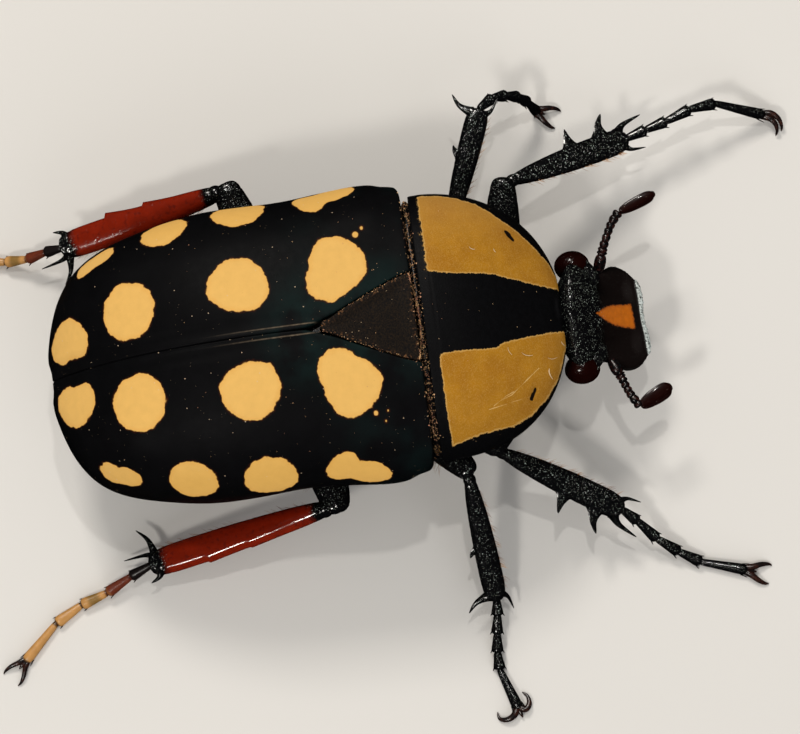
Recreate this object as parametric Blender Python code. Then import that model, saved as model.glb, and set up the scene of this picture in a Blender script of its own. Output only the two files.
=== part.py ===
"""Female flower beetle in a walking stance, life size.

The head points towards -Y and the beetle's own left side is +X. Sizes are millimetres, measured from
the floor under the middle of the pronotum's hind edge. At the end the whole beetle is moved so that
the middle of its footprint is the origin, with the feet on z = 0.
"""

from math import asin, cos, pi, radians, sin

import bmesh
import bpy
from mathutils import Matrix, Vector

MILLIMETRE = 0.001
GAP = 0.3

# Elytra: the two hard wing covers
ELYTRON_KNOTS = (  # crest y, flare x and y on the widest line, rim inset below it
    (0.95, 10.3, 1.0, 0.5),
    (3.7, 10.85, 3.7, 0.5),
    (9.0, 10.35, 9.3, 0.75),
    (14.2, 10.5, 15.0, 0.4),
    (18.4, 9.7, 20.2, 0.25),
    (21.9, 8.2, 24.1, 0.2),
    (24.4, 5.7, 26.2, 0.2),
    (26.1, 2.6, 27.2, 0.15),
    (27.0, 0.9, 27.35, 0.1),
)
CROWN = (  # y and height of the crest
    (0.0, 16.0), (7.5, 16.7), (12.0, 16.8), (16.0, 16.3),
    (20.0, 15.0), (23.0, 13.2), (25.5, 11.0), (27.3, 8.7),
)
RIM = ((0.0, 9.5), (4.0, 9.0), (9.0, 9.1), (15.0, 8.4), (20.0, 8.0), (27.4, 7.5))
FLARE_LIP = ((0.0, 1.8), (16.0, 1.7), (24.0, 1.0), (27.4, 0.6))
RIM_SWELL = 0.12  # how far the side bulges between the widest line and the rim
CREST_LEAN = 0.3  # a deeper layer's crest lies this share of its depth further forwards
ELYTRON_POWER = 2.2
ELYTRON_THICKNESS = 0.8
SUTURE_HALF_GAP = 0.15
SHOULDER_BUMP = (8.3, 3.4, 0.35, 1.9)  # x, y, rise, reach
HIND_BUMP = (6.3, 21.8, 0.4, 2.0)

# Scutellum: the triangle between the wing covers
SCUTELLUM_HALF_BASE = 3.1
SCUTELLUM_BASE_Y = 0.95
SCUTELLUM_TIP_Y = 7.5
SCUTELLUM_CUT = 0.93  # share of its length at which the thin tip is cut off
SCUTELLUM_BOW = 0.9
SCUTELLUM_THICKNESS = 0.75

# Core of the hind body under the wing covers
BELLY = (
    (0.05, 7.4), (1.6, 5.6), (3.0, 3.6), (5.0, 2.8), (10.0, 3.0),
    (18.0, 3.8), (22.0, 4.6), (24.0, 5.3), (25.8, 6.9),
)
BELLY_POWER = 1.9
STEP = 0.05  # small set-back that keeps two faces from lying in one plane
CORE_DEPTH = ELYTRON_THICKNESS + GAP + STEP
CORE_SIDE = 0.75  # share of its depth by which the core's side stands out under the rim
COLLAR = ((0.05, 0.95), (0.4, 0.6), (0.62, 0.65))  # y and depth of the strip before the wing covers
COLLAR_END_Y = 0.65
THORAX_PLACES = (1.6, 2.6, 3.6, 5.0, 7.0, 9.0)
THORAX_END_Y = 11.0
LAST_VENTRITE_Y = 23.2
ABDOMEN_END = (24.2, 0.1)  # y and how far the end is drawn in
VENTRITE_ENDS = (13.0, 15.2, 17.4, 19.6, 21.8)
VENTRITE_STEP = 0.22
VENTRITE_SLOPE = 0.35
VENTRITE_REACH = 6  # points of the ring on each side of the belly line that the step lifts
KEEL = ((0.4, 5.1, 0.7), (2.2, 4.1, 1.0), (4.2, 3.3, 1.3))  # y, z, half width, front to back
KEEL_DEPTH = 0.55  # its half depth as a share of its half width

# Pygidium: the last plate, which closes the abdomen behind
PYGIDIUM_PLACES = ((24.5, 24.5), (25.0, 24.9), (25.6, 25.4), (26.0, 25.7))  # crest y, belly y
PYGIDIUM_TIP = (26.6, 7.3)  # y, z
PYGIDIUM_ROUNDING = 0.55

# Prothorax
PRONOTUM_LENGTH = 9.6
PRONOTUM_HALF_WIDTH = 9.7
PRONOTUM_BASE_Y = -0.3
PRONOTUM_PLAN_POWER = 2.2
PRONOTUM_POWER = 2.15
PRONOTUM_CROWN = ((-9.8, 10.9), (-8.0, 12.5), (-5.0, 14.4), (-2.5, 15.4), (0.0, 15.9))
PRONOTUM_EDGE = ((-9.8, 9.3), (-6.0, 9.6), (0.0, 10.5))
PRONOTUM_LIP = 0.7
PRONOTUM_LIP_SHARE = (0.965, 0.985)  # the lip's lower edge as a share of the edge's x and y
PRONOTUM_FRONT = 0.86  # how far round the plan curve the front is cut off for the neck
PROSTERNUM = ((-9.4, 7.6), (-8.0, 6.0), (-5.5, 5.2), (-2.5, 5.6), (-0.3, 7.0))
PROSTERNUM_POWER = 1.25
PROSTERNUM_SPAN = (0.02, 0.82)  # its start and end on the pronotum's plan curve
PROSTERNUM_SHARE = 0.93  # its half width as a share of the pronotum's

# Head, before its turn to the beetle's right
HEAD_TURN = radians(-2.0)
NECK_PIVOT = (0.0, -6.0, 0.0)
HEAD_RINGS = (  # y, half width, top, bottom
    (-10.08, 2.5, 9.7, 6.2),
    (-10.5, 3.2, 9.85, 5.4),
    (-11.3, 3.2, 9.4, 4.8),
    (-12.1, 2.85, 8.6, 4.4),
    (-12.6, 3.05, 8.0, 4.2),
    (-13.1, 3.55, 7.4, 4.0),
    (-13.7, 3.85, 6.75, 3.8),
    (-14.3, 3.85, 6.2, 3.7),
    (-14.9, 3.55, 5.75, 3.7),
    (-15.3, 3.1, 5.55, 3.8),
    (-15.65, 2.5, 5.5, 4.1),
    (-15.8, 2.1, 5.4, 4.4),
)
HEAD_POWER = 2.6
EYE_CENTRE = (3.8, -10.8, 8.1)
EYE_RADII = (1.05, 1.25, 1.3)
MOUTH_RINGS = (
    (-11.5, 1.6, 4.3, 3.6),
    (-12.3, 2.3, 3.95, 3.0),
    (-13.5, 2.4, 3.5, 2.7),
    (-14.7, 1.7, 3.4, 2.8),
)

# Antennae: stalk points from the head outwards, then the tip of the club
ANTENNAE = {
    "left": (
        (3.55, -12.95, 6.6), (4.7, -13.37, 7.3), (5.55, -13.78, 7.7), (6.3, -14.2, 8.0), (7.0, -14.8, 8.2),
    ),
    "right": (
        (-4.1, -13.1, 6.5), (-4.8, -13.42, 6.6), (-5.5, -13.66, 6.5), (-6.2, -13.98, 6.3), (-6.93, -14.46, 6.1),
    ),
}
CLUB_TIPS = {"left": (8.0, -17.6, 8.2), "right": (-5.75, -16.9, 6.0)}
CLUB_HALF_WIDTH = 0.46
CLUB_HALF_DEPTH = 0.42
CLUB_PROFILE = ((0.0, 0.55), (0.12, 0.65), (0.35, 0.85), (0.65, 1.0), (0.88, 0.85), (1.0, 0.45))
STALK_RADII = (0.34, 0.3, 0.27, 0.27, 0.27)
STALK_BEAD = ((0.0, 0.9), (0.35, 1.0), (0.75, 1.25))

# Legs. Coxa centre and radii, femur root, half sizes across the wide and the thin way; teeth and
# spurs are (place along the tibia, sideways, forwards, up, root radius), with outer sides positive.
LEG_KINDS = {
    "fore": {
        "coxa": ((2.4, -5.9, 4.7), (1.25, 1.2, 1.5)),
        "root": (3.3, -6.0, 4.0),
        "femur": (1.35, 0.9),
        "knee": 0.85,
        "tibia": (0.5, 1.0, 0.5),
        "spikes": (
            (0.53, 2.25, 0.15, 0.0, 0.36),
            (0.8, 2.4, 0.8, 0.0, 0.38),
            (0.95, 1.35, 2.3, -0.1, 0.36),
            (0.96, -1.1, 1.5, -0.1, 0.26),
        ),
        "tarsus": 0.45,
    },
    "mid": {
        "coxa": ((3.2, 4.2, 3.7), (2.0, 1.3, 1.25)),
        "root": (4.2, 3.2, 3.6),
        "femur": (1.3, 0.9),
        "knee": 0.83,
        "tibia": (0.5, 0.88, 0.58),
        "spikes": (
            (0.55, 1.2, 0.5, 0.1, 0.34),
            (0.95, 2.2, 0.9, 0.0, 0.27),
            (0.96, -1.1, 1.4, -0.2, 0.26),
        ),
        "tarsus": 0.45,
    },
    "hind": {
        "coxa": ((4.6, 8.4, 3.7), (4.0, 1.35, 1.0)),
        "root": (2.6, 9.7, 2.7),
        "femur": (1.6, 1.0),
        "knee": 1.0,
        "tibia": (0.6, 1.08, 0.65),
        "spikes": (
            (0.6, 1.5, 0.7, 0.0, 0.42),
            (0.92, 1.3, 0.9, 0.0, 0.36),
            (0.96, -2.8, 1.0, 0.3, 0.28),
            (0.97, -0.95, 2.3, -0.2, 0.26),
        ),
        "tarsus": 0.46,
    },
}
REST = 0.3  # height of a resting tarsus over the floor, low enough to flatten its underside
LEGS = {  # knee, ankle, outer side, then the tarsus joint by joint
    "fore_left": (
        "fore", (10.35, -6.85, 7.3), (13.25, -16.4, 3.9), (1.0, 0.3, 0.0),
        ((13.7, -17.9, 3.85), (14.15, -19.5, 3.8), (14.85, -21.35, 3.6), (15.15, -23.3, 3.1), (14.3, -27.0, 0.8)),
    ),
    "fore_right": (
        "fore", (-8.7, -3.5, 7.2), (-13.85, -12.3, 3.0), (-1.0, 0.6, 0.0),
        ((-14.7, -13.3, 2.2), (-16.1, -14.6, 1.3), (-17.2, -16.1, 0.7), (-18.1, -17.6, REST), (-19.15, -20.9, REST)),
    ),
    "mid_left": (
        "mid", (8.1, -2.55, 4.6), (16.38, -5.92, 6.3), (0.3, 1.0, 0.2),
        ((17.2, -7.0, 5.7), (17.45, -8.0, 4.8), (17.5, -8.9, 3.7), (17.3, -9.6, 2.5), (16.95, -10.3, 0.5)),
    ),
    "mid_right": (
        "mid", (-10.0, -1.5, 7.0), (-19.0, -2.4, 1.8), (0.0, 1.0, 0.2),
        ((-20.1, -2.3, 1.4), (-21.4, -2.1, 0.9), (-22.7, -1.95, 0.5), (-23.95, -1.95, REST), (-27.0, -2.95, REST)),
    ),
    "hind_left": (
        "hind", (12.75, 13.1, 6.7), (10.85, 25.9, 3.3), (1.0, 0.0, 0.1),
        ((10.9, 27.2, 2.4), (10.77, 28.7, 1.4), (10.94, 30.4, 0.6), (11.28, 32.4, REST), (12.1, 35.5, REST)),
    ),
    "hind_right": (
        "hind", (-11.0, 8.2, 5.0), (-13.15, 22.3, 1.8), (-1.0, 0.0, 0.1),
        ((-13.7, 23.9, 1.1), (-14.6, 25.8, 0.6), (-15.2, 27.8, REST), (-16.3, 29.8, REST), (-18.8, 32.4, REST)),
    ),
}
FEMUR_PROFILE = (
    (0.0, 0.35), (0.05, 0.58), (0.3, 1.0), (0.6, 0.98), (0.83, 0.8), (0.95, 0.64), (1.0, 0.45),
)
TIBIA_PROFILE = (
    (0.0, 0.0), (0.05, 0.15), (0.3, 0.68), (0.6, 0.95), (0.85, 1.0), (0.97, 0.92), (1.0, 0.8),
)
KNEE_REACH = 0.6  # share of the knee's radius by which the femur passes the joint
SPIKE_ROOT = 0.45  # depth of a spike's root as a share of the tibia's half width
SPIKE_PROFILE = ((0.0, 1.0), (0.55, 0.68))
SPIKE_TIP_RADIUS = 0.09
SPIKE_FLOOR = 0.25
TARSUS_BEAD = ((0.06, 0.64), (0.45, 0.8), (0.82, 1.05), (0.96, 0.85))
TARSUS_ROOM = 0.32  # how far a tarsus starts from the end of a tibia that it bends away from
CLAW_LENGTH = 1.5
CLAW_SPREAD = 0.75
CLAW_ROOT = (0.24, 0.28)  # half distance between the two roots, and their radius
CLAW_PROFILE = ((1.0, 1.0, 0.1), (0.82, 0.5, 0.17), (0.45, -0.12, 0.24))  # reach, drop, radius
CLAW_TIP_Z = 0.08

FINISHES = {  # base colour, roughness
    "black shell": ((0.012, 0.012, 0.015), 0.35),
    "ochre shell": ((0.42, 0.25, 0.06), 0.5),
    "red shell": ((0.16, 0.012, 0.008), 0.25),
    "tarsus amber": ((0.55, 0.27, 0.07), 0.4),
    "eye": ((0.06, 0.01, 0.008), 0.15),
}


# Curves and sections

def along(knots, t):
    """Point at t, from 0 to 1, on the smooth curve through the knots."""
    last = len(knots) - 1
    place = min(max(t, 0.0), 1.0) * last
    start = min(int(place), last - 1)
    part = place - start
    a, b, c, d = (Vector(knots[min(max(start + step, 0), last)]) for step in (-1, 0, 1, 2))
    bend = 2.0 * a - 5.0 * b + 4.0 * c - d
    twist = 3.0 * b - a - 3.0 * c + d
    return 0.5 * (2.0 * b + (c - a) * part + bend * part ** 2 + twist * part ** 3)


def level(table, x):
    """Smooth height at x through a table of (x, height) pairs."""
    x = min(max(x, table[0][0]), table[-1][0])
    start = max(i for i in range(len(table) - 1) if table[i][0] <= x)

    def slope(i):
        low, high = max(i - 1, 0), min(i + 1, len(table) - 1)
        return (table[high][1] - table[low][1]) / (table[high][0] - table[low][0])

    (x0, y0), (x1, y1) = table[start], table[start + 1]
    run = x1 - x0
    t = (x - x0) / run
    rise = y0 * (1 + 2 * t) * (1 - t) ** 2 + y1 * t * t * (3 - 2 * t)
    return rise + run * (slope(start) * t * (1 - t) ** 2 - slope(start + 1) * t * t * (1 - t))


def spread(count):
    """Evenly spaced values from 0 to 1."""
    return [i / (count - 1) for i in range(count)]


def arch(crest, flare, power, steps, first_x=0.0):
    """Points over a domed section, from first_x beside the crest down to the flare."""
    start = asin(min(1.0, first_x / abs(flare.x)) ** (power / 2)) if first_x else 0.0
    points = []
    for t in spread(steps + 1):
        angle = start + (pi / 2 - start) * t
        out = sin(angle) ** (2 / power)
        up = max(cos(angle), 0.0) ** (2 / power)
        points.append(Vector((
            crest.x + (flare.x - crest.x) * out,
            crest.y + (flare.y - crest.y) * out,
            flare.z + (crest.z - flare.z) * up,
        )))
    return points


def mirror(points):
    return [Vector((-p.x, p.y, p.z)) for p in points]


def oval(centre, side, other, half_wide, half_thin, sides, power=2.0):
    """Closed ring of points, an ellipse or a squarer superellipse, with a flat side below."""
    points = []
    for i in range(sides):
        angle = 2 * pi * (i + 0.5) / sides
        c, s = cos(angle), sin(angle)
        wide = half_wide * abs(c) ** (2 / power) * (1 if c >= 0 else -1)
        thin = half_thin * abs(s) ** (2 / power) * (1 if s >= 0 else -1)
        points.append(centre + side * wide + other * thin)
    return points


# Solids

def solid(name, points, faces, finish):
    """Closed mesh object in millimetres, faces outwards, shaded smooth, nothing below the floor."""
    mesh = bpy.data.meshes.new(name)
    body = bmesh.new()
    corners = [body.verts.new((p[0], p[1], max(p[2], 0.0))) for p in points]
    for face in faces:
        body.faces.new([corners[i] for i in face])
    bmesh.ops.recalc_face_normals(body, faces=body.faces)
    body.to_mesh(mesh)
    body.free()
    mesh.shade_smooth()
    mesh.set_sharp_from_angle(angle=radians(50.0))
    piece = bpy.data.objects.new(name, mesh)
    bpy.context.scene.collection.objects.link(piece)
    paint(piece, finish)
    return piece


def paint(piece, finish):
    colour, roughness = FINISHES[finish]
    material = bpy.data.materials.get(finish) or bpy.data.materials.new(finish)
    material.use_nodes = True
    shader = material.node_tree.nodes["Principled BSDF"]
    shader.inputs["Base Color"].default_value = (*colour, 1.0)
    shader.inputs["Roughness"].default_value = roughness
    shader.inputs["Metallic"].default_value = 0.0
    piece.data.materials.clear()
    piece.data.materials.append(material)


def loft(name, rings, finish):
    """Solid through closed rings, with a fan on each end."""
    size = len(rings[0])
    points = [p for ring in rings for p in ring]
    faces = []
    for row in range(len(rings) - 1):
        for i in range(size):
            a, b = row * size + i, row * size + (i + 1) % size
            faces.append((a, b, b + size, a + size))
    for row in (0, len(rings) - 1):
        centre = len(points)
        points.append(sum(rings[row], Vector()) / size)
        faces += [(centre, row * size + i, row * size + (i + 1) % size) for i in range(size)]
    return solid(name, points, faces, finish)


def plate(name, outer, inner, finish):
    """Solid between two grids of points with like rows and columns."""
    rows, columns = len(outer), len(outer[0])
    points = [p for grid in (outer, inner) for row in grid for p in row]
    under = rows * columns
    faces = []
    for r in range(rows - 1):
        for c in range(columns - 1):
            a = r * columns + c
            quad = (a, a + 1, a + 1 + columns, a + columns)
            faces.append(quad)
            faces.append(tuple(under + i for i in quad))
    border = [(0, c) for c in range(columns)]
    border += [(r, columns - 1) for r in range(1, rows)]
    border += [(rows - 1, c) for c in range(columns - 2, -1, -1)]
    border += [(r, 0) for r in range(rows - 2, 0, -1)]
    edge = [r * columns + c for r, c in border]
    for i, a in enumerate(edge):
        b = edge[(i + 1) % len(edge)]
        faces.append((a, b, under + b, under + a))
    return solid(name, points, faces, finish)


def tube(name, path, halves, wide, finish, sides=8):
    """Solid of oval rings along a path, each with its half width and half depth."""
    rings = []
    for i, centre in enumerate(path):
        run = (path[min(i + 1, len(path) - 1)] - path[max(i - 1, 0)]).normalized()
        side = (wide - run * wide.dot(run)).normalized()
        rings.append(oval(centre, side, run.cross(side), halves[i][0], halves[i][1], sides))
    return loft(name, rings, finish)


def spike(name, root, tip, radius, finish, sides=6):
    """Slightly swollen cone from its root to a blunt tip."""
    run = tip - root
    path = [root + run * t for t, _ in SPIKE_PROFILE] + [tip]
    halves = [(radius * k, radius * k) for _, k in SPIKE_PROFILE] + [(SPIKE_TIP_RADIUS, SPIKE_TIP_RADIUS)]
    across = Vector((0, 0, 1)) if abs(run.normalized().z) < 0.9 else Vector((1, 0, 0))
    return tube(name, path, halves, across, finish, sides)


def ball(name, centre, radii, finish, rings=8, sides=12):
    """Ellipsoid, its poles along its own Z."""
    layers = []
    for t in spread(rings + 1)[1:-1]:
        middle = Vector(centre) - Vector((0, 0, radii[2] * cos(pi * t)))
        wide, deep = radii[0] * sin(pi * t), radii[1] * sin(pi * t)
        layers.append(oval(middle, Vector((1, 0, 0)), Vector((0, 1, 0)), wide, deep, sides))
    return loft(name, layers, finish)


def largest_surface(mesh):
    """Keep the connected surface with most faces."""
    body = bmesh.new()
    body.from_mesh(mesh)
    unseen = set(body.faces)
    groups = []
    while unseen:
        stack = [unseen.pop()]
        group = set(stack)
        while stack:
            for edge in stack.pop().edges:
                for face in edge.link_faces:
                    if face in unseen:
                        unseen.discard(face)
                        group.add(face)
                        stack.append(face)
        groups.append(group)
    keep = max(groups, key=len)
    spare = [face for face in body.faces if face not in keep]
    bmesh.ops.delete(body, geom=spare, context="FACES")
    bmesh.ops.triangulate(body, faces=body.faces)
    body.to_mesh(mesh)
    body.free()


def combine(target, tools, operation):
    """Join the tools to the target, or cut them out of it, and remove them."""
    group = bpy.data.collections.new("tools")
    bpy.context.scene.collection.children.link(group)
    for tool in tools:
        group.objects.link(tool)
    change = target.modifiers.new("combine", "BOOLEAN")
    change.operand_type = "COLLECTION"
    change.collection = group
    change.operation = operation
    change.solver = "MANIFOLD"
    bpy.context.view_layer.update()
    result = bpy.data.meshes.new_from_object(target.evaluated_get(bpy.context.evaluated_depsgraph_get()))
    target.modifiers.clear()
    target.data = result
    for tool in tools:
        bpy.data.objects.remove(tool)
    bpy.data.collections.remove(group)
    largest_surface(result)
    result.shade_smooth()
    result.set_sharp_from_angle(angle=radians(50.0))
    return target


def swollen(piece, amount):
    """Copy of a piece grown outwards, to cut clearance round it."""
    copy = piece.copy()
    copy.data = piece.data.copy()
    bpy.context.scene.collection.objects.link(copy)
    normals = [vertex.normal.copy() for vertex in copy.data.vertices]
    for vertex, normal in zip(copy.data.vertices, normals):
        vertex.co += normal * amount
    return copy


# Hind body

def elytron_lines(s, sink=0.0):
    """Crest, flare and rim of the wing covers at s, sunk under the outer surface."""
    crest_y, flare_x, flare_y, inset = along(ELYTRON_KNOTS, s)
    rim_z = level(RIM, flare_y)
    crest = Vector((0.0, crest_y - sink * CREST_LEAN, level(CROWN, crest_y) - sink))
    out = Vector((flare_x, max(flare_y - crest_y, 0.0), 0.0)).normalized()
    flare = Vector((flare_x, flare_y, rim_z + level(FLARE_LIP, flare_y))) - out * sink
    rim = Vector((flare_x, flare_y, rim_z)) - out * (sink + inset)
    return crest, flare, rim


def bumps(point):
    """Rise of the surface over the shoulder and the hind callus."""
    rise = 0.0
    for x, y, height, reach in (SHOULDER_BUMP, HIND_BUMP):
        away = ((abs(point.x) - x) ** 2 + (point.y - y) ** 2) / reach ** 2
        rise += height * max(0.0, 1.0 - away) ** 2
    return rise


def scutellum_half_width(y):
    """Half width of the scutellum at y, with slightly bowed sides."""
    t = (SCUTELLUM_TIP_Y - y) / (SCUTELLUM_TIP_Y - SCUTELLUM_BASE_Y)
    return SCUTELLUM_HALF_BASE * min(max(t, 0.0), 1.0) ** SCUTELLUM_BOW


def elytron_row(s, sink):
    crest, flare, rim = elytron_lines(s, sink)
    inner_x = SUTURE_HALF_GAP
    if crest.y < SCUTELLUM_TIP_Y:
        inner_x += scutellum_half_width(crest.y) + SUTURE_HALF_GAP
    row = arch(crest, flare, ELYTRON_POWER, 9, inner_x)
    row = [p + Vector((0, 0, bumps(p))) for p in row]
    row.append((row[-1] + rim) / 2 + Vector((RIM_SWELL * min(rim.x, 1.0), 0, 0)))
    row.append(rim)
    return row


def build_elytra():
    stations = spread(22)
    outer = [elytron_row(s, 0.0) for s in stations]
    inner = [elytron_row(s, ELYTRON_THICKNESS) for s in stations]
    plate("elytron_left", outer, inner, "black shell")
    plate("elytron_right", [mirror(row) for row in outer], [mirror(row) for row in inner], "black shell")


def build_scutellum():
    outer, inner = [], []
    for t in spread(7):
        y = SCUTELLUM_BASE_Y + (SCUTELLUM_TIP_Y - SCUTELLUM_BASE_Y) * SCUTELLUM_CUT * t
        half = scutellum_half_width(y)
        flare = elytron_lines(0.0)[1]
        top = level(CROWN, y)
        row = []
        for u in spread(5):
            x = half * (2 * u - 1)
            drop = (top - flare.z) * (1 - (1 - (abs(x) / flare.x) ** ELYTRON_POWER) ** (1 / ELYTRON_POWER))
            row.append(Vector((x, y, top - drop)))
        outer.append(row)
        inner.append([p - Vector((0, 0, SCUTELLUM_THICKNESS)) for p in row])
    plate("scutellum", outer, inner, "black shell")


def core_ring(s, sink, belly_y, narrow=0.0):
    """Ring of the hind body: dome under the wing covers, side, and belly."""
    crest, flare, rim = elytron_lines(s, sink)
    over = arch(crest, flare, ELYTRON_POWER, 6)
    rim_z = rim.z - GAP
    shoulder = Vector((rim.x, rim.y, rim_z))
    side = Vector((rim.x + sink * CORE_SIDE - narrow, rim.y, rim_z - STEP))
    belly = Vector((0.0, belly_y, level(BELLY, belly_y)))
    under = []
    for t in spread(8)[:-1]:
        angle = pi / 2 * t
        out = cos(angle) ** (2 / BELLY_POWER)
        down = sin(angle) ** (2 / BELLY_POWER)
        y = belly_y + (side.y - belly_y) * out
        under.append(Vector((side.x * out, y, side.z - (side.z - belly.z) * down)))
    half = over + [shoulder] + under
    return half + [belly] + mirror(half[1:])[::-1]


def station_of(y):
    """Place s at which the crest of the wing covers reaches y."""
    low, high = 0.0, 1.0
    for _ in range(40):
        middle = (low + high) / 2
        if along(ELYTRON_KNOTS, middle)[0] < y:
            low = middle
        else:
            high = middle
    return low


def build_thorax():
    rings = []
    for y, sink in (*COLLAR, (COLLAR_END_Y, CORE_DEPTH)):
        rings.append([Vector((p.x, y, p.z)) for p in core_ring(0.0, sink, y)])
    for y in (*THORAX_PLACES, THORAX_END_Y - GAP):
        rings.append(core_ring(station_of(y), CORE_DEPTH, y))
    return loft("thorax", rings, "black shell")


def build_abdomen():
    rings = []
    places = [(THORAX_END_Y, 0.0)]
    for end in VENTRITE_ENDS:
        places += [(end - VENTRITE_SLOPE, 0.0), (end, VENTRITE_STEP)]
    places += [(LAST_VENTRITE_Y, 0.0), ABDOMEN_END]
    for y, groove in places:
        ring = core_ring(station_of(y), CORE_DEPTH, y, groove)
        middle = len(ring) // 2
        for i in range(middle - VENTRITE_REACH, middle + VENTRITE_REACH + 1):
            ring[i].z += groove
        rings.append(ring)
    return loft("abdomen", rings, "black shell")


def build_pygidium():
    rings = [core_ring(station_of(crest_y), CORE_DEPTH, belly_y) for crest_y, belly_y in PYGIDIUM_PLACES]
    tip = Vector((0.0, *PYGIDIUM_TIP))
    rings.append([tip.lerp(p, PYGIDIUM_ROUNDING) for p in rings[-1]])
    return loft("pygidium", rings, "black shell")


# Prothorax

def pronotum_lines(s):
    """Crest and edge of the pronotum at s, base to front."""
    angle = pi / 2 * s
    reach = sin(angle) ** (2 / PRONOTUM_PLAN_POWER)
    half = PRONOTUM_HALF_WIDTH * max(cos(angle), 0.0) ** (2 / PRONOTUM_PLAN_POWER)
    edge_y = PRONOTUM_BASE_Y - PRONOTUM_LENGTH * reach
    crest_y = PRONOTUM_BASE_Y - PRONOTUM_LENGTH * (0.15 * s + 0.85 * reach)
    crest = Vector((0.0, crest_y, level(PRONOTUM_CROWN, crest_y)))
    edge = Vector((half, edge_y, level(PRONOTUM_EDGE, edge_y)))
    return crest, edge


def build_pronotum():
    rings = []
    for t in spread(16):
        crest, edge = pronotum_lines(PRONOTUM_FRONT * t)
        half = arch(crest, edge, PRONOTUM_POWER, 9)
        share_x, share_y = PRONOTUM_LIP_SHARE
        lip_y = PRONOTUM_BASE_Y + (edge.y - PRONOTUM_BASE_Y) * share_y
        lip = Vector((edge.x * share_x, lip_y, edge.z - PRONOTUM_LIP))
        inner = Vector((edge.x * share_x / 2, (edge.y + crest.y) / 2, edge.z - PRONOTUM_LIP))
        floor = Vector((0.0, crest.y, edge.z - PRONOTUM_LIP))
        half += [lip, inner]
        rings.append(half + [floor] + mirror(half[1:])[::-1])
    loft("pronotum", rings, "ochre shell")


def build_prosternum():
    rings = []
    start, end = PROSTERNUM_SPAN
    for t in spread(9):
        crest, edge = pronotum_lines(start + (end - start) * t)
        roof = edge.z - PRONOTUM_LIP - GAP
        bottom = level(PROSTERNUM, crest.y)
        half = [Vector((0.0, crest.y, roof)), Vector((edge.x * 0.5, (edge.y + crest.y) / 2, roof))]
        for u in spread(8)[:-1]:
            angle = pi / 2 * u
            out = cos(angle) ** (2 / PROSTERNUM_POWER)
            down = sin(angle) ** (2 / PROSTERNUM_POWER)
            y = crest.y + (edge.y - crest.y) * out
            half.append(Vector((edge.x * PROSTERNUM_SHARE * out, y, roof - (roof - bottom) * down)))
        rings.append(half + [Vector((0.0, crest.y, bottom))] + mirror(half[1:])[::-1])
    return loft("prosternum", rings, "black shell")


# Head and antennae

def turn_head(piece):
    pivot = Matrix.Translation(NECK_PIVOT)
    piece.data.transform(pivot @ Matrix.Rotation(HEAD_TURN, 4, "Z") @ pivot.inverted())


def stacked(name, rings, finish, sides, power):
    """Solid through upright rings given as (y, half width, top, bottom)."""
    layers = []
    for y, half, top, bottom in rings:
        centre = Vector((0.0, y, (top + bottom) / 2))
        layers.append(oval(centre, Vector((1, 0, 0)), Vector((0, 0, 1)), half, (top - bottom) / 2, sides, power))
    return loft(name, layers, finish)


def build_head():
    head = stacked("head", HEAD_RINGS, "black shell", 20, HEAD_POWER)
    eyes = []
    for name, side in (("eye_left", 1), ("eye_right", -1)):
        centre = (EYE_CENTRE[0] * side, EYE_CENTRE[1], EYE_CENTRE[2])
        eyes.append(ball(name, centre, EYE_RADII, "eye", 10, 14))
    combine(head, [swollen(eye, GAP) for eye in eyes], "DIFFERENCE")
    mouth = stacked("mouthparts", MOUTH_RINGS, "black shell", 12, 2.0)
    for piece in (head, mouth, *eyes):
        turn_head(piece)


def build_antenna(side):
    points = [Vector(p) for p in ANTENNAE[side]]
    path, halves = [], []
    for i in range(len(points) - 1):
        for t, scale in STALK_BEAD:
            path.append(points[i].lerp(points[i + 1], t))
            halves.append((STALK_RADII[i] * scale,) * 2)
    path.append(points[-1])
    halves.append((STALK_RADII[-1],) * 2)
    tube("antenna_" + side, path, halves, Vector((0, 0, 1)), "black shell", 7)
    tip = Vector(CLUB_TIPS[side])
    run = (tip - points[-1]).normalized()
    start = points[-1] + run * (GAP + STALK_RADII[-1])
    path = [start.lerp(tip, t) for t, _ in CLUB_PROFILE]
    halves = [(CLUB_HALF_WIDTH * k, CLUB_HALF_DEPTH * k) for _, k in CLUB_PROFILE]
    tube("antenna_club_" + side, path, halves, Vector((1, 0, 0)), "red shell", 10)


# Legs

def build_coxa(name, kind, side, femur):
    """Joint body on the underside, hollowed where the root of the femur lies in it."""
    (x, y, z), radii = LEG_KINDS[kind]["coxa"]
    coxa = ball("coxa_" + name, (x * side, y, z), radii, "black shell", 6, 12)
    return combine(coxa, [swollen(femur, GAP)], "DIFFERENCE")


def build_femur(name, kind, side, knee, finish):
    sizes = LEG_KINDS[kind]
    x, y, z = sizes["root"]
    start = Vector((x * side, y, z))
    run = (knee - start).normalized()
    end = knee + run * sizes["knee"] * KNEE_REACH
    path = [start.lerp(end, t) for t, _ in FEMUR_PROFILE]
    halves = [(sizes["femur"][0] * k, sizes["femur"][1] * k) for _, k in FEMUR_PROFILE]
    return tube("femur_" + name, path, halves, Vector((0, 0, 1)).cross(run), finish, 12)


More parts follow.
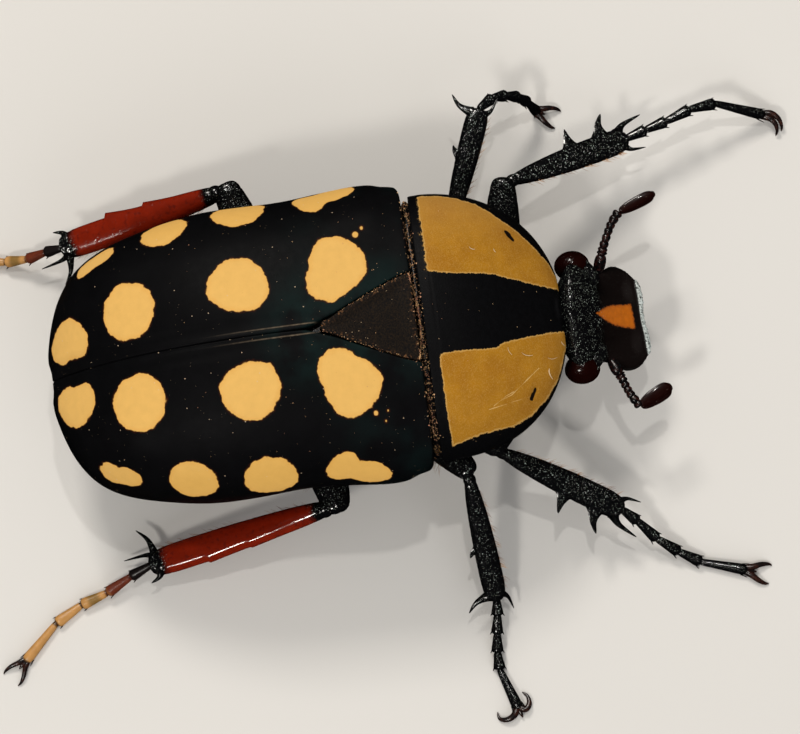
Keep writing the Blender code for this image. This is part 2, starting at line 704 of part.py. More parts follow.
def build_tibia(name, kind, knee, ankle, outer, finish):
    sizes = LEG_KINDS[kind]
    run = (ankle - knee).normalized()
    start = knee + run * (sizes["knee"] + GAP)
    narrow, wide, thin = sizes["tibia"]
    path = [start.lerp(ankle, t) for t, _ in TIBIA_PROFILE]
    halves = [(narrow + (wide - narrow) * k, narrow + (thin - narrow) * k) for _, k in TIBIA_PROFILE]
    side = (outer - run * outer.dot(run)).normalized()
    shaft = tube("tibia_" + name, path, halves, side, finish, 12)
    spikes = []
    for place, sideways, forward, height, radius in sizes["spikes"]:
        middle = start.lerp(ankle, place)
        inset = wide * SPIKE_ROOT * (1 if sideways > 0 else -1)
        tip = middle + side * sideways + run * forward + Vector((0, 0, height))
        tip.z = max(tip.z, SPIKE_FLOOR)
        spikes.append(spike("spike", middle + side * inset, tip, radius, finish))
    return combine(shaft, spikes, "UNION")


def build_tarsus(name, kind, ankle, joints, finish):
    radius = LEG_KINDS[kind]["tarsus"]
    first = (joints[0] - ankle).normalized()
    points = [ankle + first * (GAP + TARSUS_ROOM)] + joints
    path, halves = [], []
    for i in range(len(points) - 1):
        for t, k in TARSUS_BEAD:
            path.append(points[i].lerp(points[i + 1], t))
            halves.append((radius * k, radius * k))
    return tube("tarsus_" + name, path, halves, Vector((0, 0, 1)), finish, 8)


def build_claws(name, last, previous):
    run = last - previous
    run.z = 0.0
    run.normalize()
    side = Vector((-run.y, run.x, 0.0))
    root = last + run * GAP
    apart, root_radius = CLAW_ROOT
    base = [root - side * apart, root + side * apart]
    path, halves = [], []
    for part, drop, radius in CLAW_PROFILE:
        tip_z = root.z * (1 - drop) + CLAW_TIP_Z * drop
        spot = root - side * (apart + (CLAW_SPREAD - apart) * part) + run * (CLAW_LENGTH * part)
        path.append(Vector((spot.x, spot.y, tip_z)))
        halves.append((radius, radius))
    other = []
    for spot in reversed(path):
        away = (spot - root).dot(side)
        other.append(spot - side * (2 * away))
    path = path + base + other
    halves = halves + [(root_radius, root_radius)] * 2 + halves[::-1]
    return tube("claws_" + name, path, halves, Vector((0, 0, 1)), "black shell", 6)


def build_leg(name):
    kind, knee, ankle, outer, joints = LEGS[name]
    knee, ankle, outer = Vector(knee), Vector(ankle), Vector(outer)
    joints = [Vector(p) for p in joints]
    side = 1 if name.endswith("left") else -1
    tibia_finish = "red shell" if kind == "hind" else "black shell"
    tarsus_finish = "tarsus amber" if kind == "hind" else "black shell"
    femur = build_femur(name, kind, side, knee, "black shell")
    coxa = build_coxa(name, kind, side, femur)
    build_tibia(name, kind, knee, ankle, outer, tibia_finish)
    build_tarsus(name, kind, ankle, joints, tarsus_finish)
    build_claws(name, joints[-1], joints[-2])
    return coxa, femur


def build_keel():
    """Blunt process between the middle coxae, pointing forwards."""
    path = [Vector((0.0, y, z)) for y, z, _ in KEEL]
    halves = [(half, half * KEEL_DEPTH) for _, _, half in KEEL]
    return tube("keel", path, halves, Vector((1, 0, 0)), "black shell", 8)


def settle():
    """Move everything so that the footprint's middle is the origin, in metres."""
    pieces = list(bpy.context.scene.objects)
    points = [vertex.co for piece in pieces for vertex in piece.data.vertices]
    middle_x = (min(p.x for p in points) + max(p.x for p in points)) / 2
    middle_y = (min(p.y for p in points) + max(p.y for p in points)) / 2
    move = Matrix.Scale(MILLIMETRE, 4) @ Matrix.Translation((-middle_x, -middle_y, 0.0))
    for piece in pieces:
        piece.data.transform(move)


def main():
    for piece in list(bpy.data.objects):
        bpy.data.objects.remove(piece)
    build_elytra()
    build_scutellum()
    thorax = build_thorax()
    abdomen = build_abdomen()
    build_pygidium()
    build_pronotum()
    prosternum = build_prosternum()
    build_head()
    build_antenna("left")
    build_antenna("right")
    limbs = {name: build_leg(name) for name in LEGS}
    combine(thorax, [build_keel()], "UNION")
    for body, kinds in ((prosternum, ("fore",)), (thorax, ("mid", "hind")), (abdomen, ("hind",))):
        for name in LEGS:
            if LEGS[name][0] in kinds:
                for piece in limbs[name]:
                    combine(body, [swollen(piece, GAP)], "DIFFERENCE")
    settle()


main()
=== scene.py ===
"""Looks of a life-size flower beetle, laid out as an add-on and run as a script.

Every piece is modelled in millimetres, in the beetle's own frame: the head points towards -Y, the beetle's
left side is +X, the floor is z = 0 and y = 0 lies at the pronotum's hind edge. publish() brings a finished
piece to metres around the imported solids.
"""

import random
from contextlib import contextmanager
from functools import reduce
from itertools import product
from math import copysign, cos, pi, radians, sin

import bmesh
import bpy
import numpy as np
from mathutils import Matrix, Vector, kdtree, noise
from mathutils.bvhtree import BVHTree


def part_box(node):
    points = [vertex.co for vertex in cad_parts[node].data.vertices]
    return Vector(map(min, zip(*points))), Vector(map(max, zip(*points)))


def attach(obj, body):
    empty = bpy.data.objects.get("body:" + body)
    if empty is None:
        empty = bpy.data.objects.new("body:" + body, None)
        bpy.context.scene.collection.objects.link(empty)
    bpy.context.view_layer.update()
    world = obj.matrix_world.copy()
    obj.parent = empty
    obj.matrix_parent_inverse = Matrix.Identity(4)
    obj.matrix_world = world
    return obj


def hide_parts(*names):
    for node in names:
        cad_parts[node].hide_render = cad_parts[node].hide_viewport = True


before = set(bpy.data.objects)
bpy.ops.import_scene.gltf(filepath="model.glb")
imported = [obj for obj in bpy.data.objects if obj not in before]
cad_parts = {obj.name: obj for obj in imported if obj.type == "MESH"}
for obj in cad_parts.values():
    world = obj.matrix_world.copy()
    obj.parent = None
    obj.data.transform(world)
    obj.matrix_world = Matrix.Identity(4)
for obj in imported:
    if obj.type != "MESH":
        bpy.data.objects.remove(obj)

bl_info = {
    "name": "Flower Beetle Looks",
    "version": (1, 0, 0),
    "blender": (4, 5, 0),
    "location": "View3D > Sidebar > Beetle",
    "description": "Builds the visible pieces of a life-size flower beetle around its packed solids",
    "category": "Object",
}

MM = 0.001
UP = Vector((0.0, 0.0, 1.0))
SIDES = {"left": 1, "right": -1}
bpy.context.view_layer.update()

# Where the solids stand: y = 0 of the beetle's frame is 0.3 mm behind the pronotum's solid
PRONOTUM_LOW, PRONOTUM_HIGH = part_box("pronotum")
PRONOTUM_BASE_Y = -0.3
ORIGIN = Vector(((PRONOTUM_LOW.x + PRONOTUM_HIGH.x) / 2, PRONOTUM_HIGH.y - PRONOTUM_BASE_Y * MM, 0.0))

# Camera that took the photo, fitted to the beetle, and the lamps; the photo is 800 pixels wide
PHOTO_WIDTH = 800
FOCAL_PIXELS = 3660.79
SENSOR_WIDTH = 36.0
CAMERA_TARGET = Vector((-2.5755, 2.2884, 10.8))
CAMERA_DISTANCE = 260.0
CAMERA_LEAN = radians(9.5646)
CAMERA_PITCH = radians(0.3475)
CAMERA_ROLL = radians(7.6364)
LAMPS = (  # name, place, size, power, colour, whether it shows in gloss
    ("key", (0.26, 0.06, 0.3), 0.08, 0.74, (1.0, 0.95, 0.88), True),
    ("twin", (-0.17, 0.155, 0.325), 0.05, 0.45, (1.0, 0.96, 0.9), True),
    ("sparkle", (0.12, -0.04, 0.42), 0.014, 0.28, (1.0, 0.98, 0.94), True),
    ("fill", (-0.3, -0.12, 0.2), 0.3, 0.45, (0.97, 0.98, 1.0), False),
)
LAMP_TARGET = Vector((0.0, 0.0, 0.008))

# Edges of the solids sharper than this are rounded; faces are shaded smooth up to the second angle
SHARP = radians(40)
SMOOTH = radians(60)

# Wing covers
SCUTELLUM_TIP_Y = 7.5
SCUTELLUM_SIDE = ((0.95, 3.1), (2.6, 2.39), (4.2, 1.68), (5.9, 0.88), (7.5, 0.0))  # y and half width
SUTURE_HALF_GAP = 0.15
SUTURE_CUTS = (0.5, 1.0, 1.8)  # where a cover is cut lengthwise, so that its inner edge stays crisp
SHOULDER_X = 10.3
SHOULDER_ROUNDING = 1.3
BEYOND = 9.0  # stands for a distance outside every spot
SATELLITES = (  # centres and radii of the specks beside the front spots
    ((6.36, 4.17), 0.2), ((6.81, 3.66), 0.12), ((-6.41, 4.33), 0.12), ((-6.33, 3.48), 0.05),
    ((-7.0, 3.71), 0.05),
)
SPOTS = (  # centre, radius, then the cosine and sine of its single, double and triple wave round the outline
    ((4.1, 5.95, 16.2), 2.23, (0.0, 0.0), (-0.13, -0.2), (-0.19, -0.08)),
    ((3.82, 12.67, 16.4), 2.11, (0.0, 0.0), (0.04, 0.08), (0.04, -0.06)),
    ((3.27, 20.7, 14.7), 2.05, (0.0, 0.0), (0.02, 0.02), (0.0, -0.02)),
    ((2.33, 25.5, 11.4), 1.79, (0.0, 0.0), (0.31, -0.05), (0.0, -0.14)),
    ((9.76, 6.45, 13.3), 1.7, (-0.17, 0.23), (0.36, -0.46), (-0.03, 0.31)),
    ((9.4, 12.2, 13.5), 1.89, (0.0, 0.32)),
    ((8.9, 17.65, 13.2), 1.73, (0.03, 0.29)),
    ((7.75, 22.85, 11.7), 1.25, (0.0, 0.0), (0.4, 0.0)),
)

# Pronotum: outlines of its two pale patches, dark marks, and the broken lines of two scratches
PATCHES = (
    (
        (3.15, -0.5), (9.2, -0.5), (9.1, -2.0), (8.72, -3.29), (8.15, -4.59), (7.11, -5.82), (6.01, -7.05),
        (4.66, -8.24), (3.41, -9.17), (2.4, -9.6), (1.36, -9.75), (1.5, -8.9), (1.63, -8.23), (2.13, -6.38),
        (2.6, -4.68), (2.78, -2.13),
    ),
    (
        (-2.82, -0.58), (-5.97, -0.56), (-8.99, -0.65), (-8.45, -2.63), (-8.02, -5.13), (-7.29, -6.6),
        (-6.14, -7.85), (-4.9, -8.75), (-3.4, -9.35), (-2.2, -9.75), (-1.6, -9.8), (-1.65, -9.43),
        (-1.97, -7.31), (-2.38, -5.22), (-2.75, -4.49), (-2.73, -2.34),
    ),
)
MARKS = (((5.78, -6.43), (5.12, -6.86)), ((-5.62, -6.99), (-6.25, -6.62)))
MARK_HALF_WIDTH = 0.12
PRONOTUM_NOSE = Vector((0.0, -9.6, 11.4))  # middle of the front edge, above the neck
SCRATCHES = (
    ((-6.88, -3.52), (-6.66, -4.5), (-6.15, -6.48)),
    ((-6.4, -4.27), (-5.99, -5.27), (-5.13, -6.33), (-4.24, -7.42)),
    ((-6.66, -3.9), (-6.05, -4.85), (-5.8, -5.4)),
)
STRAY_HAIRS = (  # place, turn, length and thickness of the pale curved hairs on the pronotum
    (-3.01, -5.53, 20.0, 0.6, 0.022), (-3.25, -6.72, 75.0, 0.8, 0.02), (-4.6, -8.24, 12.0, 0.7, 0.045),
    (-3.5, -8.5, 95.0, 0.7, 0.02), (-2.46, -9.4, 40.0, 0.3, 0.02), (4.55, -3.86, 60.0, 0.45, 0.018),
    (4.3, -5.44, 20.0, 0.3, 0.018),
)

# Head, before its turn to the beetle's right: y, half width, top, bottom
HEAD_TURN = radians(-2.0)
NECK = Vector((0.0, -6.0, 0.0))
HEAD_RINGS = (
    (-9.0, 1.9, 9.2, 6.6), (-9.5, 2.2, 9.5, 6.3), (-10.08, 3.3, 9.8, 6.0), (-10.5, 4.15, 9.9, 5.4),
    (-11.3, 4.15, 9.5, 4.8), (-12.1, 3.3, 8.65, 4.4), (-12.6, 3.1, 8.0, 4.2), (-13.1, 3.5, 7.4, 4.0),
    (-13.7, 3.85, 6.75, 3.8), (-14.3, 3.85, 6.2, 3.7), (-14.9, 3.55, 5.75, 3.7), (-15.3, 3.1, 5.5, 3.8),
    (-15.6, 2.65, 5.4, 4.0), (-15.78, 2.3, 5.3, 4.3),
)
LIP_RINGS = (
    (-11.4, 1.5, 4.4, 3.5), (-12.3, 2.2, 4.0, 3.05), (-13.3, 2.4, 3.7, 2.75), (-14.2, 2.1, 3.6, 2.75),
    (-14.8, 1.5, 3.5, 2.95),
)
MOUTH_RODS = (  # knots on the left side, and radii
    (((1.9, -12.4, 3.9), (2.6, -13.6, 3.75), (2.3, -14.7, 3.7), (1.2, -15.3, 3.75)), (0.5, 0.48, 0.4, 0.16)),
    (
        ((1.5, -13.0, 3.0), (2.2, -13.9, 2.9), (2.6, -14.8, 3.0), (2.5, -15.5, 3.2)),
        (0.2, 0.24, 0.16, 0.22, 0.24, 0.1),
    ),
)
EYE_CENTRE = Vector((3.78, -10.8, 7.6))
EYE_RADII = (1.08, 1.28, 1.3)
CANTHUS_PROFILE = (  # length, half width, half thickness
    (-0.4, 0.4, 0.3), (0.2, 0.62, 0.36), (0.8, 0.6, 0.3), (1.4, 0.46, 0.22), (1.8, 0.28, 0.15),
    (1.95, 0.12, 0.08),
)
WEDGE = ((-15.0, 0.9), (-14.4, 0.86), (-13.3, 0.7), (-12.9, 0.52), (-12.15, 0.0))  # y and half width
WEDGE_FRONT_Y = -14.9
HEAD_SKEW = 0.07  # how much further forwards each millimetre to the right lies

# Antennae: tip of the club, its half width, spread of its leaves, then the knots of the stalk
ANTENNAE = {
    "left": (
        (8.0, -17.55, 8.2), 0.37, 0.14, (3.4, -12.9, 6.6), (4.7, -13.37, 7.3), (5.55, -13.78, 7.7),
        (6.3, -14.2, 8.0), (7.0, -14.8, 8.2),
    ),
    "right": (
        (-5.75, -16.9, 6.0), 0.47, 0.27, (-3.9, -13.05, 6.5), (-4.8, -13.42, 6.6), (-5.5, -13.66, 6.5),
        (-6.2, -13.98, 6.3), (-6.93, -14.46, 6.1),
    ),
}
BEAD_RADII = (0.39, 0.36, 0.34, 0.32, 0.32, 0.33, 0.35, 0.37)
BEAD_PROFILE = ((-0.12, 0.5), (0.0, 0.8), (0.25, 0.92), (0.55, 1.05), (0.8, 1.02), (0.97, 0.84), (1.06, 0.5))
LEAF_PROFILE = (
    (0.0, 0.34), (0.06, 0.58), (0.18, 0.78), (0.4, 0.94), (0.65, 1.0), (0.85, 0.94), (0.95, 0.7), (1.0, 0.38),
)

# Legs: femur root, its half sizes, knee radius, tibia half sizes (knee end, wide, thin), tarsus radius
GAP = 0.3
LEG_KINDS = {
    "fore": ((3.3, -6.0, 4.0), (1.35, 0.9), 0.85, (0.5, 1.0, 0.5), 0.48),
    "mid": ((4.2, 3.2, 3.6), (1.3, 0.9), 0.83, (0.5, 0.88, 0.58), 0.48),
    "hind": ((2.6, 9.7, 2.7), (1.6, 1.0), 1.0, (0.7, 1.1, 0.65), 0.46),
}
HORNS = {  # place along the tibia, then its tip sideways, forwards and up, root radius; outer sides positive
    "fore": (
        (0.53, 2.25, 0.15, 0.0, 0.36), (0.8, 2.4, 0.8, 0.0, 0.38), (0.95, 1.35, 2.3, -0.1, 0.3),
        (0.96, -1.1, 1.5, -0.1, 0.2),
    ),
    "mid": ((0.55, 1.2, 0.5, 0.1, 0.3), (0.95, 2.2, 0.9, 0.0, 0.27), (0.96, -1.1, 1.4, -0.2, 0.2)),
    "hind": ((0.95, 1.3, 0.9, 0.0, 0.26), (0.96, -2.8, 1.0, 0.3, 0.24), (0.97, -0.95, 2.3, -0.2, 0.22)),
}
GLINT_WAY = (0.1, 0.0, 0.995)  # the way that the side of the legs with painted glints faces
STEPS = ((0.43, 0.24), (0.67, 0.34))  # place and height of the low steps on a hind tibia's outer edge
STEP_RUN = 0.22  # share of the tibia's length on which a step rises
REST = 0.3
LEGS = {  # kind, knee, ankle, outer side, then the tarsus joint by joint
    "fore_left": (
        "fore", (10.35, -6.85, 7.3), (13.25, -16.4, 3.9), (1.0, 0.3, 0.0), (13.7, -17.9, 3.85),
        (14.15, -19.5, 3.8), (14.85, -21.35, 3.6), (15.15, -23.3, 3.1), (14.3, -27.0, 0.8),
    ),
    "fore_right": (
        "fore", (-8.7, -3.5, 7.2), (-13.85, -12.3, 3.0), (-1.0, 0.6, 0.0), (-14.7, -13.3, 2.2),
        (-16.1, -14.6, 1.3), (-17.2, -16.1, 0.7), (-18.1, -17.6, REST), (-19.15, -20.9, REST),
    ),
    "mid_left": (
        "mid", (8.1, -2.55, 4.6), (16.38, -5.92, 6.3), (0.3, 1.0, 0.2), (17.2, -7.0, 5.7),
        (17.45, -8.0, 4.8), (17.5, -8.9, 3.7), (17.3, -9.6, 2.5), (16.95, -10.3, 0.5),
    ),
    "mid_right": (
        "mid", (-10.0, -1.5, 7.0), (-19.0, -2.4, 1.8), (0.0, 1.0, 0.2), (-20.1, -2.3, 1.4),
        (-21.4, -2.1, 0.9), (-22.7, -1.95, 0.5), (-23.95, -1.95, REST), (-27.0, -2.95, REST),
    ),
    "hind_left": (
        "hind", (12.75, 13.1, 6.7), (10.85, 25.9, 3.3), (1.0, 0.0, 0.1), (10.9, 27.2, 2.4),
        (10.77, 28.7, 1.4), (10.94, 30.4, 0.6), (11.28, 32.4, REST), (12.1, 35.5, REST),
    ),
    "hind_right": (
        "hind", (-11.0, 8.2, 5.0), (-13.15, 22.3, 1.8), (-1.0, 0.0, 0.1), (-13.7, 23.9, 1.1),
        (-14.6, 25.8, 0.6), (-15.2, 27.8, REST), (-16.3, 29.8, REST), (-18.8, 32.4, REST),
    ),
}
FEMUR_PROFILE = (  # share of the length, share of the half sizes
    (0.0, 0.35), (0.03, 0.5), (0.1, 0.7), (0.28, 0.98), (0.5, 1.0), (0.68, 0.93),
    (0.82, 0.8), (0.91, 0.7), (0.97, 0.6), (1.0, 0.38),
)
TROCHANTER_PROFILE = ((-0.5, 0.4), (-0.35, 0.62), (0.1, 0.78), (0.6, 0.8), (0.85, 0.6))  # place and radius
KNEE_KNOB = (  # share of the knee's radius, share of the knee end's size
    (-0.95, 0.5), (-0.75, 0.85), (-0.4, 1.0), (-0.1, 0.86),
)
TIBIA_PROFILE = (  # share of the length, share of the way from the knee end's size to the widest
    (0.0, -0.1), (0.04, 0.06), (0.1, 0.26), (0.18, 0.45), (0.3, 0.68), (0.42, 0.82), (0.52, 0.92),
    (0.62, 0.97), (0.74, 1.0), (0.85, 1.0), (0.92, 0.86), (0.96, 0.6), (0.985, 0.2), (1.0, -0.3),
)
TARSOMERE_PROFILE = (  # share of the length, share of the radius
    (-0.05, 0.4), (0.0, 0.58), (0.1, 0.68), (0.35, 0.78), (0.6, 0.9), (0.8, 1.02), (0.9, 1.0),
    (0.97, 0.8), (1.0, 0.5),
)
HORN_TAPER = (1.7, 1.3, 1.0, 0.78, 0.6, 0.44, 0.28, 0.1)
TOOTH_TAPER = (2.9, 2.1, 1.35, 0.92, 0.68, 0.48, 0.3, 0.08)
TOOTH_FLATTENING = 0.68
CLAW_PATH = ((-0.25, 0.1), (0.3, 0.3), (0.85, 0.58), (1.35, 0.72), (1.66, 0.68))  # forwards, apart
CLAW_HEIGHTS = ((0.0, 0.2), (0.06, 0.2), (0.0, 0.2), (-0.25, 0.15), (-0.6, 0.08))  # over the root, least
CLAW_RADII = (0.24, 0.25, 0.22, 0.19, 0.15, 0.1, 0.03)
CLAW_PATHS = {  # feet whose two hooks bend in a way of their own, the hook on the side's far end last
    "mid_right": (
        ((-0.1, 0.1), (0.25, 0.55), (0.3, 1.1), (0.0, 1.55), (-0.5, 1.5)),
        ((-0.1, 0.1), (0.2, 0.45), (-0.05, 0.85), (-0.6, 0.98), (-1.05, 0.75)),
    ),
    "fore_left": (
        ((-0.2, 0.1), (0.4, 0.22), (0.85, 0.55), (1.05, 1.0), (1.0, 1.35)),
        ((-0.2, 0.1), (0.5, 0.16), (1.05, -0.15), (1.35, -0.6), (1.4, -0.95)),
    ),
}

# Bristles and dust
COLLAR_BRISTLES, SHIN_BRISTLES, THIGH_BRISTLES = 260, 46, 40
COLLAR_GRAINS, RIM_GRAINS, SEAM_GRAINS, STRAY_GRAINS = 760, 380, 170, 110
DUSTY_PIECES = ("left_wing_cover", "right_wing_cover", "scutellum_plate", "thorax_plates", "pronotum_plate")
LOWEST_DUST = 8.0


# Settings that a user may change

def height_setting(name, description, millimetres):
    return bpy.props.FloatProperty(
        name=name, description=description, default=millimetres * MM, min=0.0, precision=5, unit="LENGTH",
    )


def colour_setting(name, description, *colour):
    return bpy.props.FloatVectorProperty(
        name=name, description=description, default=colour, min=0.0, max=1.0, subtype="COLOR",
    )


class BeetleSizes(bpy.types.PropertyGroup):
    rim_rise: height_setting("Rim rise", "Height of the beaded rim round each shell plate", 0.09)
    suture_rise: height_setting("Suture rise", "Height of the ridge beside the seam of the wing covers", 0.05)
    grain_rise: height_setting("Head grain", "Height of the grains on the forehead", 0.08)


class BeetleColours(bpy.types.PropertyGroup):
    shell: colour_setting("Black shell", "Colour of the black plates", 0.0025, 0.0025, 0.003)
    spots: colour_setting("Spots", "Colour of the wing covers' spots", 0.69, 0.41, 0.115)
    pronotum: colour_setting("Pronotum", "Colour of the pronotum's two patches", 0.35, 0.155, 0.009)
    wedge: colour_setting("Forehead wedge", "Colour of the wedge on the front of the head", 0.44, 0.11, 0.003)
    hind_tibia: colour_setting("Hind tibiae", "Colour of the red-brown shins", 0.19, 0.011, 0.002)
    tarsus: colour_setting("Hind feet", "Colour of the pale joints of the hind feet", 0.48, 0.24, 0.07)
    hair: colour_setting("Bristles", "Colour of the bristles", 0.16, 0.06, 0.025)
    dust: colour_setting("Dust", "Colour of the dust in the grooves", 0.42, 0.2, 0.12)
    floor: colour_setting("Floor", "Colour of the studio floor", 0.66, 0.645, 0.62)


def millimetres_of(size):
    return getattr(bpy.context.scene.beetle_sizes, size) / MM


def colours():
    return bpy.context.scene.beetle_colours


# Curves

def level(table, x):
    """Value at x in a table of (x, value) pairs, for a number or an array."""
    return np.interp(x, [row[0] for row in table], [row[1] for row in table])


def step(low, high, x):
    """Smooth rise from 0 at low to 1 at high."""
    t = np.clip((x - low) / (high - low), 0.0, 1.0)
    return t * t * (3 - 2 * t)


def hump(centre, reach, x):
    """Smooth bump of height 1 at the centre, 0 beyond its reach."""
    return np.clip(1 - ((x - centre) / reach) ** 2, 0.0, 1.0) ** 2


def along(knots, t):
    """Point at t, from 0 to 1, on the smooth curve through the knots."""
    last = len(knots) - 1
    place = min(max(t, 0.0), 1.0) * last
    start = min(int(place), last - 1)
    part = place - start
    a, b, c, d = (Vector(knots[min(max(start + i, 0), last)]) for i in (-1, 0, 1, 2))
    bend = 2 * a - 5 * b + 4 * c - d
    twist = 3 * b - a - 3 * c + d
    return 0.5 * (2 * b + (c - a) * part + bend * part ** 2 + twist * part ** 3)


def to_segment(x, y, start, end):
    """Distance, seen from above, to the straight line between two places."""
    run_x, run_y = end[0] - start[0], end[1] - start[1]
    t = np.clip(((x - start[0]) * run_x + (y - start[1]) * run_y) / (run_x ** 2 + run_y ** 2), 0.0, 1.0)
    return np.hypot(x - start[0] - t * run_x, y - start[1] - t * run_y)


def within_outline(corners, x, y):
    """Distance to a closed outline seen from above, positive inside it."""
    sides = list(zip(corners, corners[1:] + corners[:1]))
    nearest = reduce(np.minimum, [to_segment(x, y, start, end) for start, end in sides])
    inside = np.zeros(len(x), bool)
    for start, end in sides:
        spans = (start[1] > y) != (end[1] > y)
        rise = (end[1] - start[1]) or 1.0
        inside ^= spans & (x < start[0] + (end[0] - start[0]) * (y - start[1]) / rise)
    return np.where(inside, nearest, -nearest)


# Modelling by hand, in code

def pick(*pieces):
    """Select these pieces alone, the first one active."""
    bpy.ops.object.select_all(action="DESELECT")
    for piece in pieces:
        piece.select_set(True)
    if pieces:
        bpy.context.view_layer.objects.active = pieces[0]


@contextmanager
def editing(piece):
    """Edit mode on one piece, with all of it selected."""
    pick(piece)
    bpy.ops.object.mode_set(mode="EDIT")
    bpy.ops.mesh.select_mode(type="FACE")
    bpy.ops.mesh.select_all(action="SELECT")
    yield
    bpy.ops.object.mode_set(mode="OBJECT")


def choose(piece, test, kind="faces"):
    """In edit mode, select the faces or edges that pass the test."""
    bpy.ops.mesh.select_mode(type="FACE" if kind == "faces" else "EDGE")
    bpy.ops.mesh.select_all(action="DESELECT")
    mesh = bmesh.from_edit_mesh(piece.data)
    for element in getattr(mesh, kind):
        if test(element):
            element.select_set(True)
    bmesh.update_edit_mesh(piece.data)


def link(name, data):
    """New object in the scene that holds the data."""
    made = bpy.data.objects.new(name, data)
    bpy.context.scene.collection.objects.link(made)
    return made


def apply_modifier(piece, kind, **values):
    pick(piece)
    bpy.ops.object.modifier_add(type=kind)
    change = piece.modifiers[-1]
    for key, value in values.items():
        setattr(change, key, value)
    bpy.ops.object.modifier_apply(modifier=change.name)


def subdivide(piece, levels):
    apply_modifier(piece, "SUBSURF", levels=levels, render_levels=levels)


def upright(name, stations, sides=16, power=2.0, levels=3):
    """Smooth body along Z: a disc drawn up through stations of height, half width, half depth and shifts."""
    stations = [(*station, 0.0, 0.0)[:5] for station in stations]
    height, wide, deep, shift_x, shift_y = stations[0]
    pick()
    bpy.ops.mesh.primitive_circle_add(vertices=sides, radius=1.0, fill_type="NGON", location=(0.0, 0.0, 0.0))
    piece = bpy.context.object
    piece.name = name
    for vertex in piece.data.vertices:
        c, s = (copysign(abs(way) ** (2 / power), way) for way in vertex.co.xy)
        vertex.co = (c * wide + shift_x, s * deep + shift_y, height)
    with editing(piece):
        for before, after in zip(stations, stations[1:]):
            move = (after[3] - before[3], after[4] - before[4], after[0] - before[0])
            growth = (after[1] / before[1], after[2] / before[2], 1.0)
            bpy.ops.mesh.extrude_region_move(TRANSFORM_OT_translate={"value": move})
            bpy.ops.transform.resize(value=growth, center_override=(after[3], after[4], after[0]))
        bpy.ops.mesh.select_all(action="SELECT")
        bpy.ops.mesh.normals_make_consistent(inside=False)
    subdivide(piece, levels)
    return piece


def rod(knots, radii, samples=4):
    """Bent, tapered rod: a curve with a round bevel, made a mesh."""
    curve = bpy.data.curves.new("rod", "CURVE")
    curve.dimensions = "3D"
    curve.bevel_depth = 1.0
    curve.bevel_resolution = 3
    curve.use_fill_caps = True
    count = samples * (len(knots) - 1) + 1
    line = curve.splines.new("POLY")
    line.points.add(count - 1)
    shares = [i / (len(radii) - 1) for i in range(len(radii))]
    for i, point in enumerate(line.points):
        t = i / (count - 1)
        point.co = (*along(knots, t), 1.0)
        point.radius = float(np.interp(t, shares, radii))
    pick(link("rod", curve))
    bpy.ops.object.convert(target="MESH")
    return bpy.context.object


def horn(root, tip, radius, bend, taper=HORN_TAPER):
    """Slender spike with a swollen root, bent on its way to the tip."""
    return rod([root, root.lerp(tip, 0.45) + bend, tip], [radius * share for share in taper], 7)


def tooth(root, tip, radius, bend, flat):
    """Flat tooth with a broad base, thin in one direction."""
    piece = horn(root, tip, radius, bend, TOOTH_TAPER)
    points, _ = surface(piece)
    points -= np.outer((points - np.array(root)) @ np.array(flat), np.array(flat)) * TOOTH_FLATTENING
    move_points(piece, points)
    return piece


def stand(piece, root, run, side):
    """Turn an upright piece so that its Z follows the run and its X the side, and set it at the root."""
    z = Vector(run).normalized()
    x = (Vector(side) - z * z.dot(Vector(side))).normalized()
    turned = Matrix((x, z.cross(x), z)).transposed().to_4x4()
    pick(piece)
    piece.matrix_world = Matrix.Translation(root) @ turned
    bpy.ops.object.transform_apply(location=True, rotation=True, scale=True)
    return piece


def join(name, pieces):
    pick(*pieces)
    bpy.ops.object.join()
    joined = bpy.context.object
    joined.name = name
    return joined


def from_solid(node, name):
    """Copy of a solid's mesh in the beetle's frame, its corners merged and its faces made quads again."""
    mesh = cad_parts[node].data.copy()
    mesh.materials.clear()
    mesh.transform(Matrix.Scale(1 / MM, 4) @ Matrix.Translation(-ORIGIN))
    piece = link(name, mesh)
    with editing(piece):
        bpy.ops.mesh.remove_doubles(threshold=0.002)
        bpy.ops.mesh.tris_convert_to_quads(face_threshold=radians(60), shape_threshold=radians(80))
    return piece


def from_faces(name, points, faces):
    mesh = bpy.data.meshes.new(name)
    mesh.from_pydata(points, [], faces)
    piece = link(name, mesh)
    with editing(piece):
        bpy.ops.mesh.normals_make_consistent(inside=False)
    return piece


def surface(piece):
    """Places and normals of the piece's vertices."""
    vertices = piece.data.vertices
    points, normals = np.empty(len(vertices) * 3), np.empty(len(vertices) * 3)
    vertices.foreach_get("co", points)
    vertices.foreach_get("normal", normals)
    return points.reshape(-1, 3), normals.reshape(-1, 3)


def move_points(piece, points):
    piece.data.vertices.foreach_set("co", np.ascontiguousarray(points).ravel())
    piece.data.update()


def mark(piece, name, values):
    """Store a value on each vertex for the material to read."""
    layer = piece.data.attributes.new(name, "FLOAT", "POINT")
    count = len(piece.data.vertices)
    layer.data.foreach_set("value", np.ascontiguousarray(np.broadcast_to(values, count), dtype=np.float32))


def is_sharp(edge):
    return len(edge.link_faces) == 2 and edge.calc_face_angle(0.0) > SHARP


def sharp_line(piece):
    """Points along the piece's sharp edges, as a tree to measure distances from."""
    mesh = bmesh.new()
    mesh.from_mesh(piece.data)
    samples = []
    for edge in filter(is_sharp, mesh.edges):
        a, b = (vertex.co for vertex in edge.verts)
        samples += [a.lerp(b, i / 8) for i in range(8)]
    mesh.free()
    tree = kdtree.KDTree(len(samples))
    for i, sample in enumerate(samples):
        tree.insert(sample, i)
    tree.balance()
    return tree


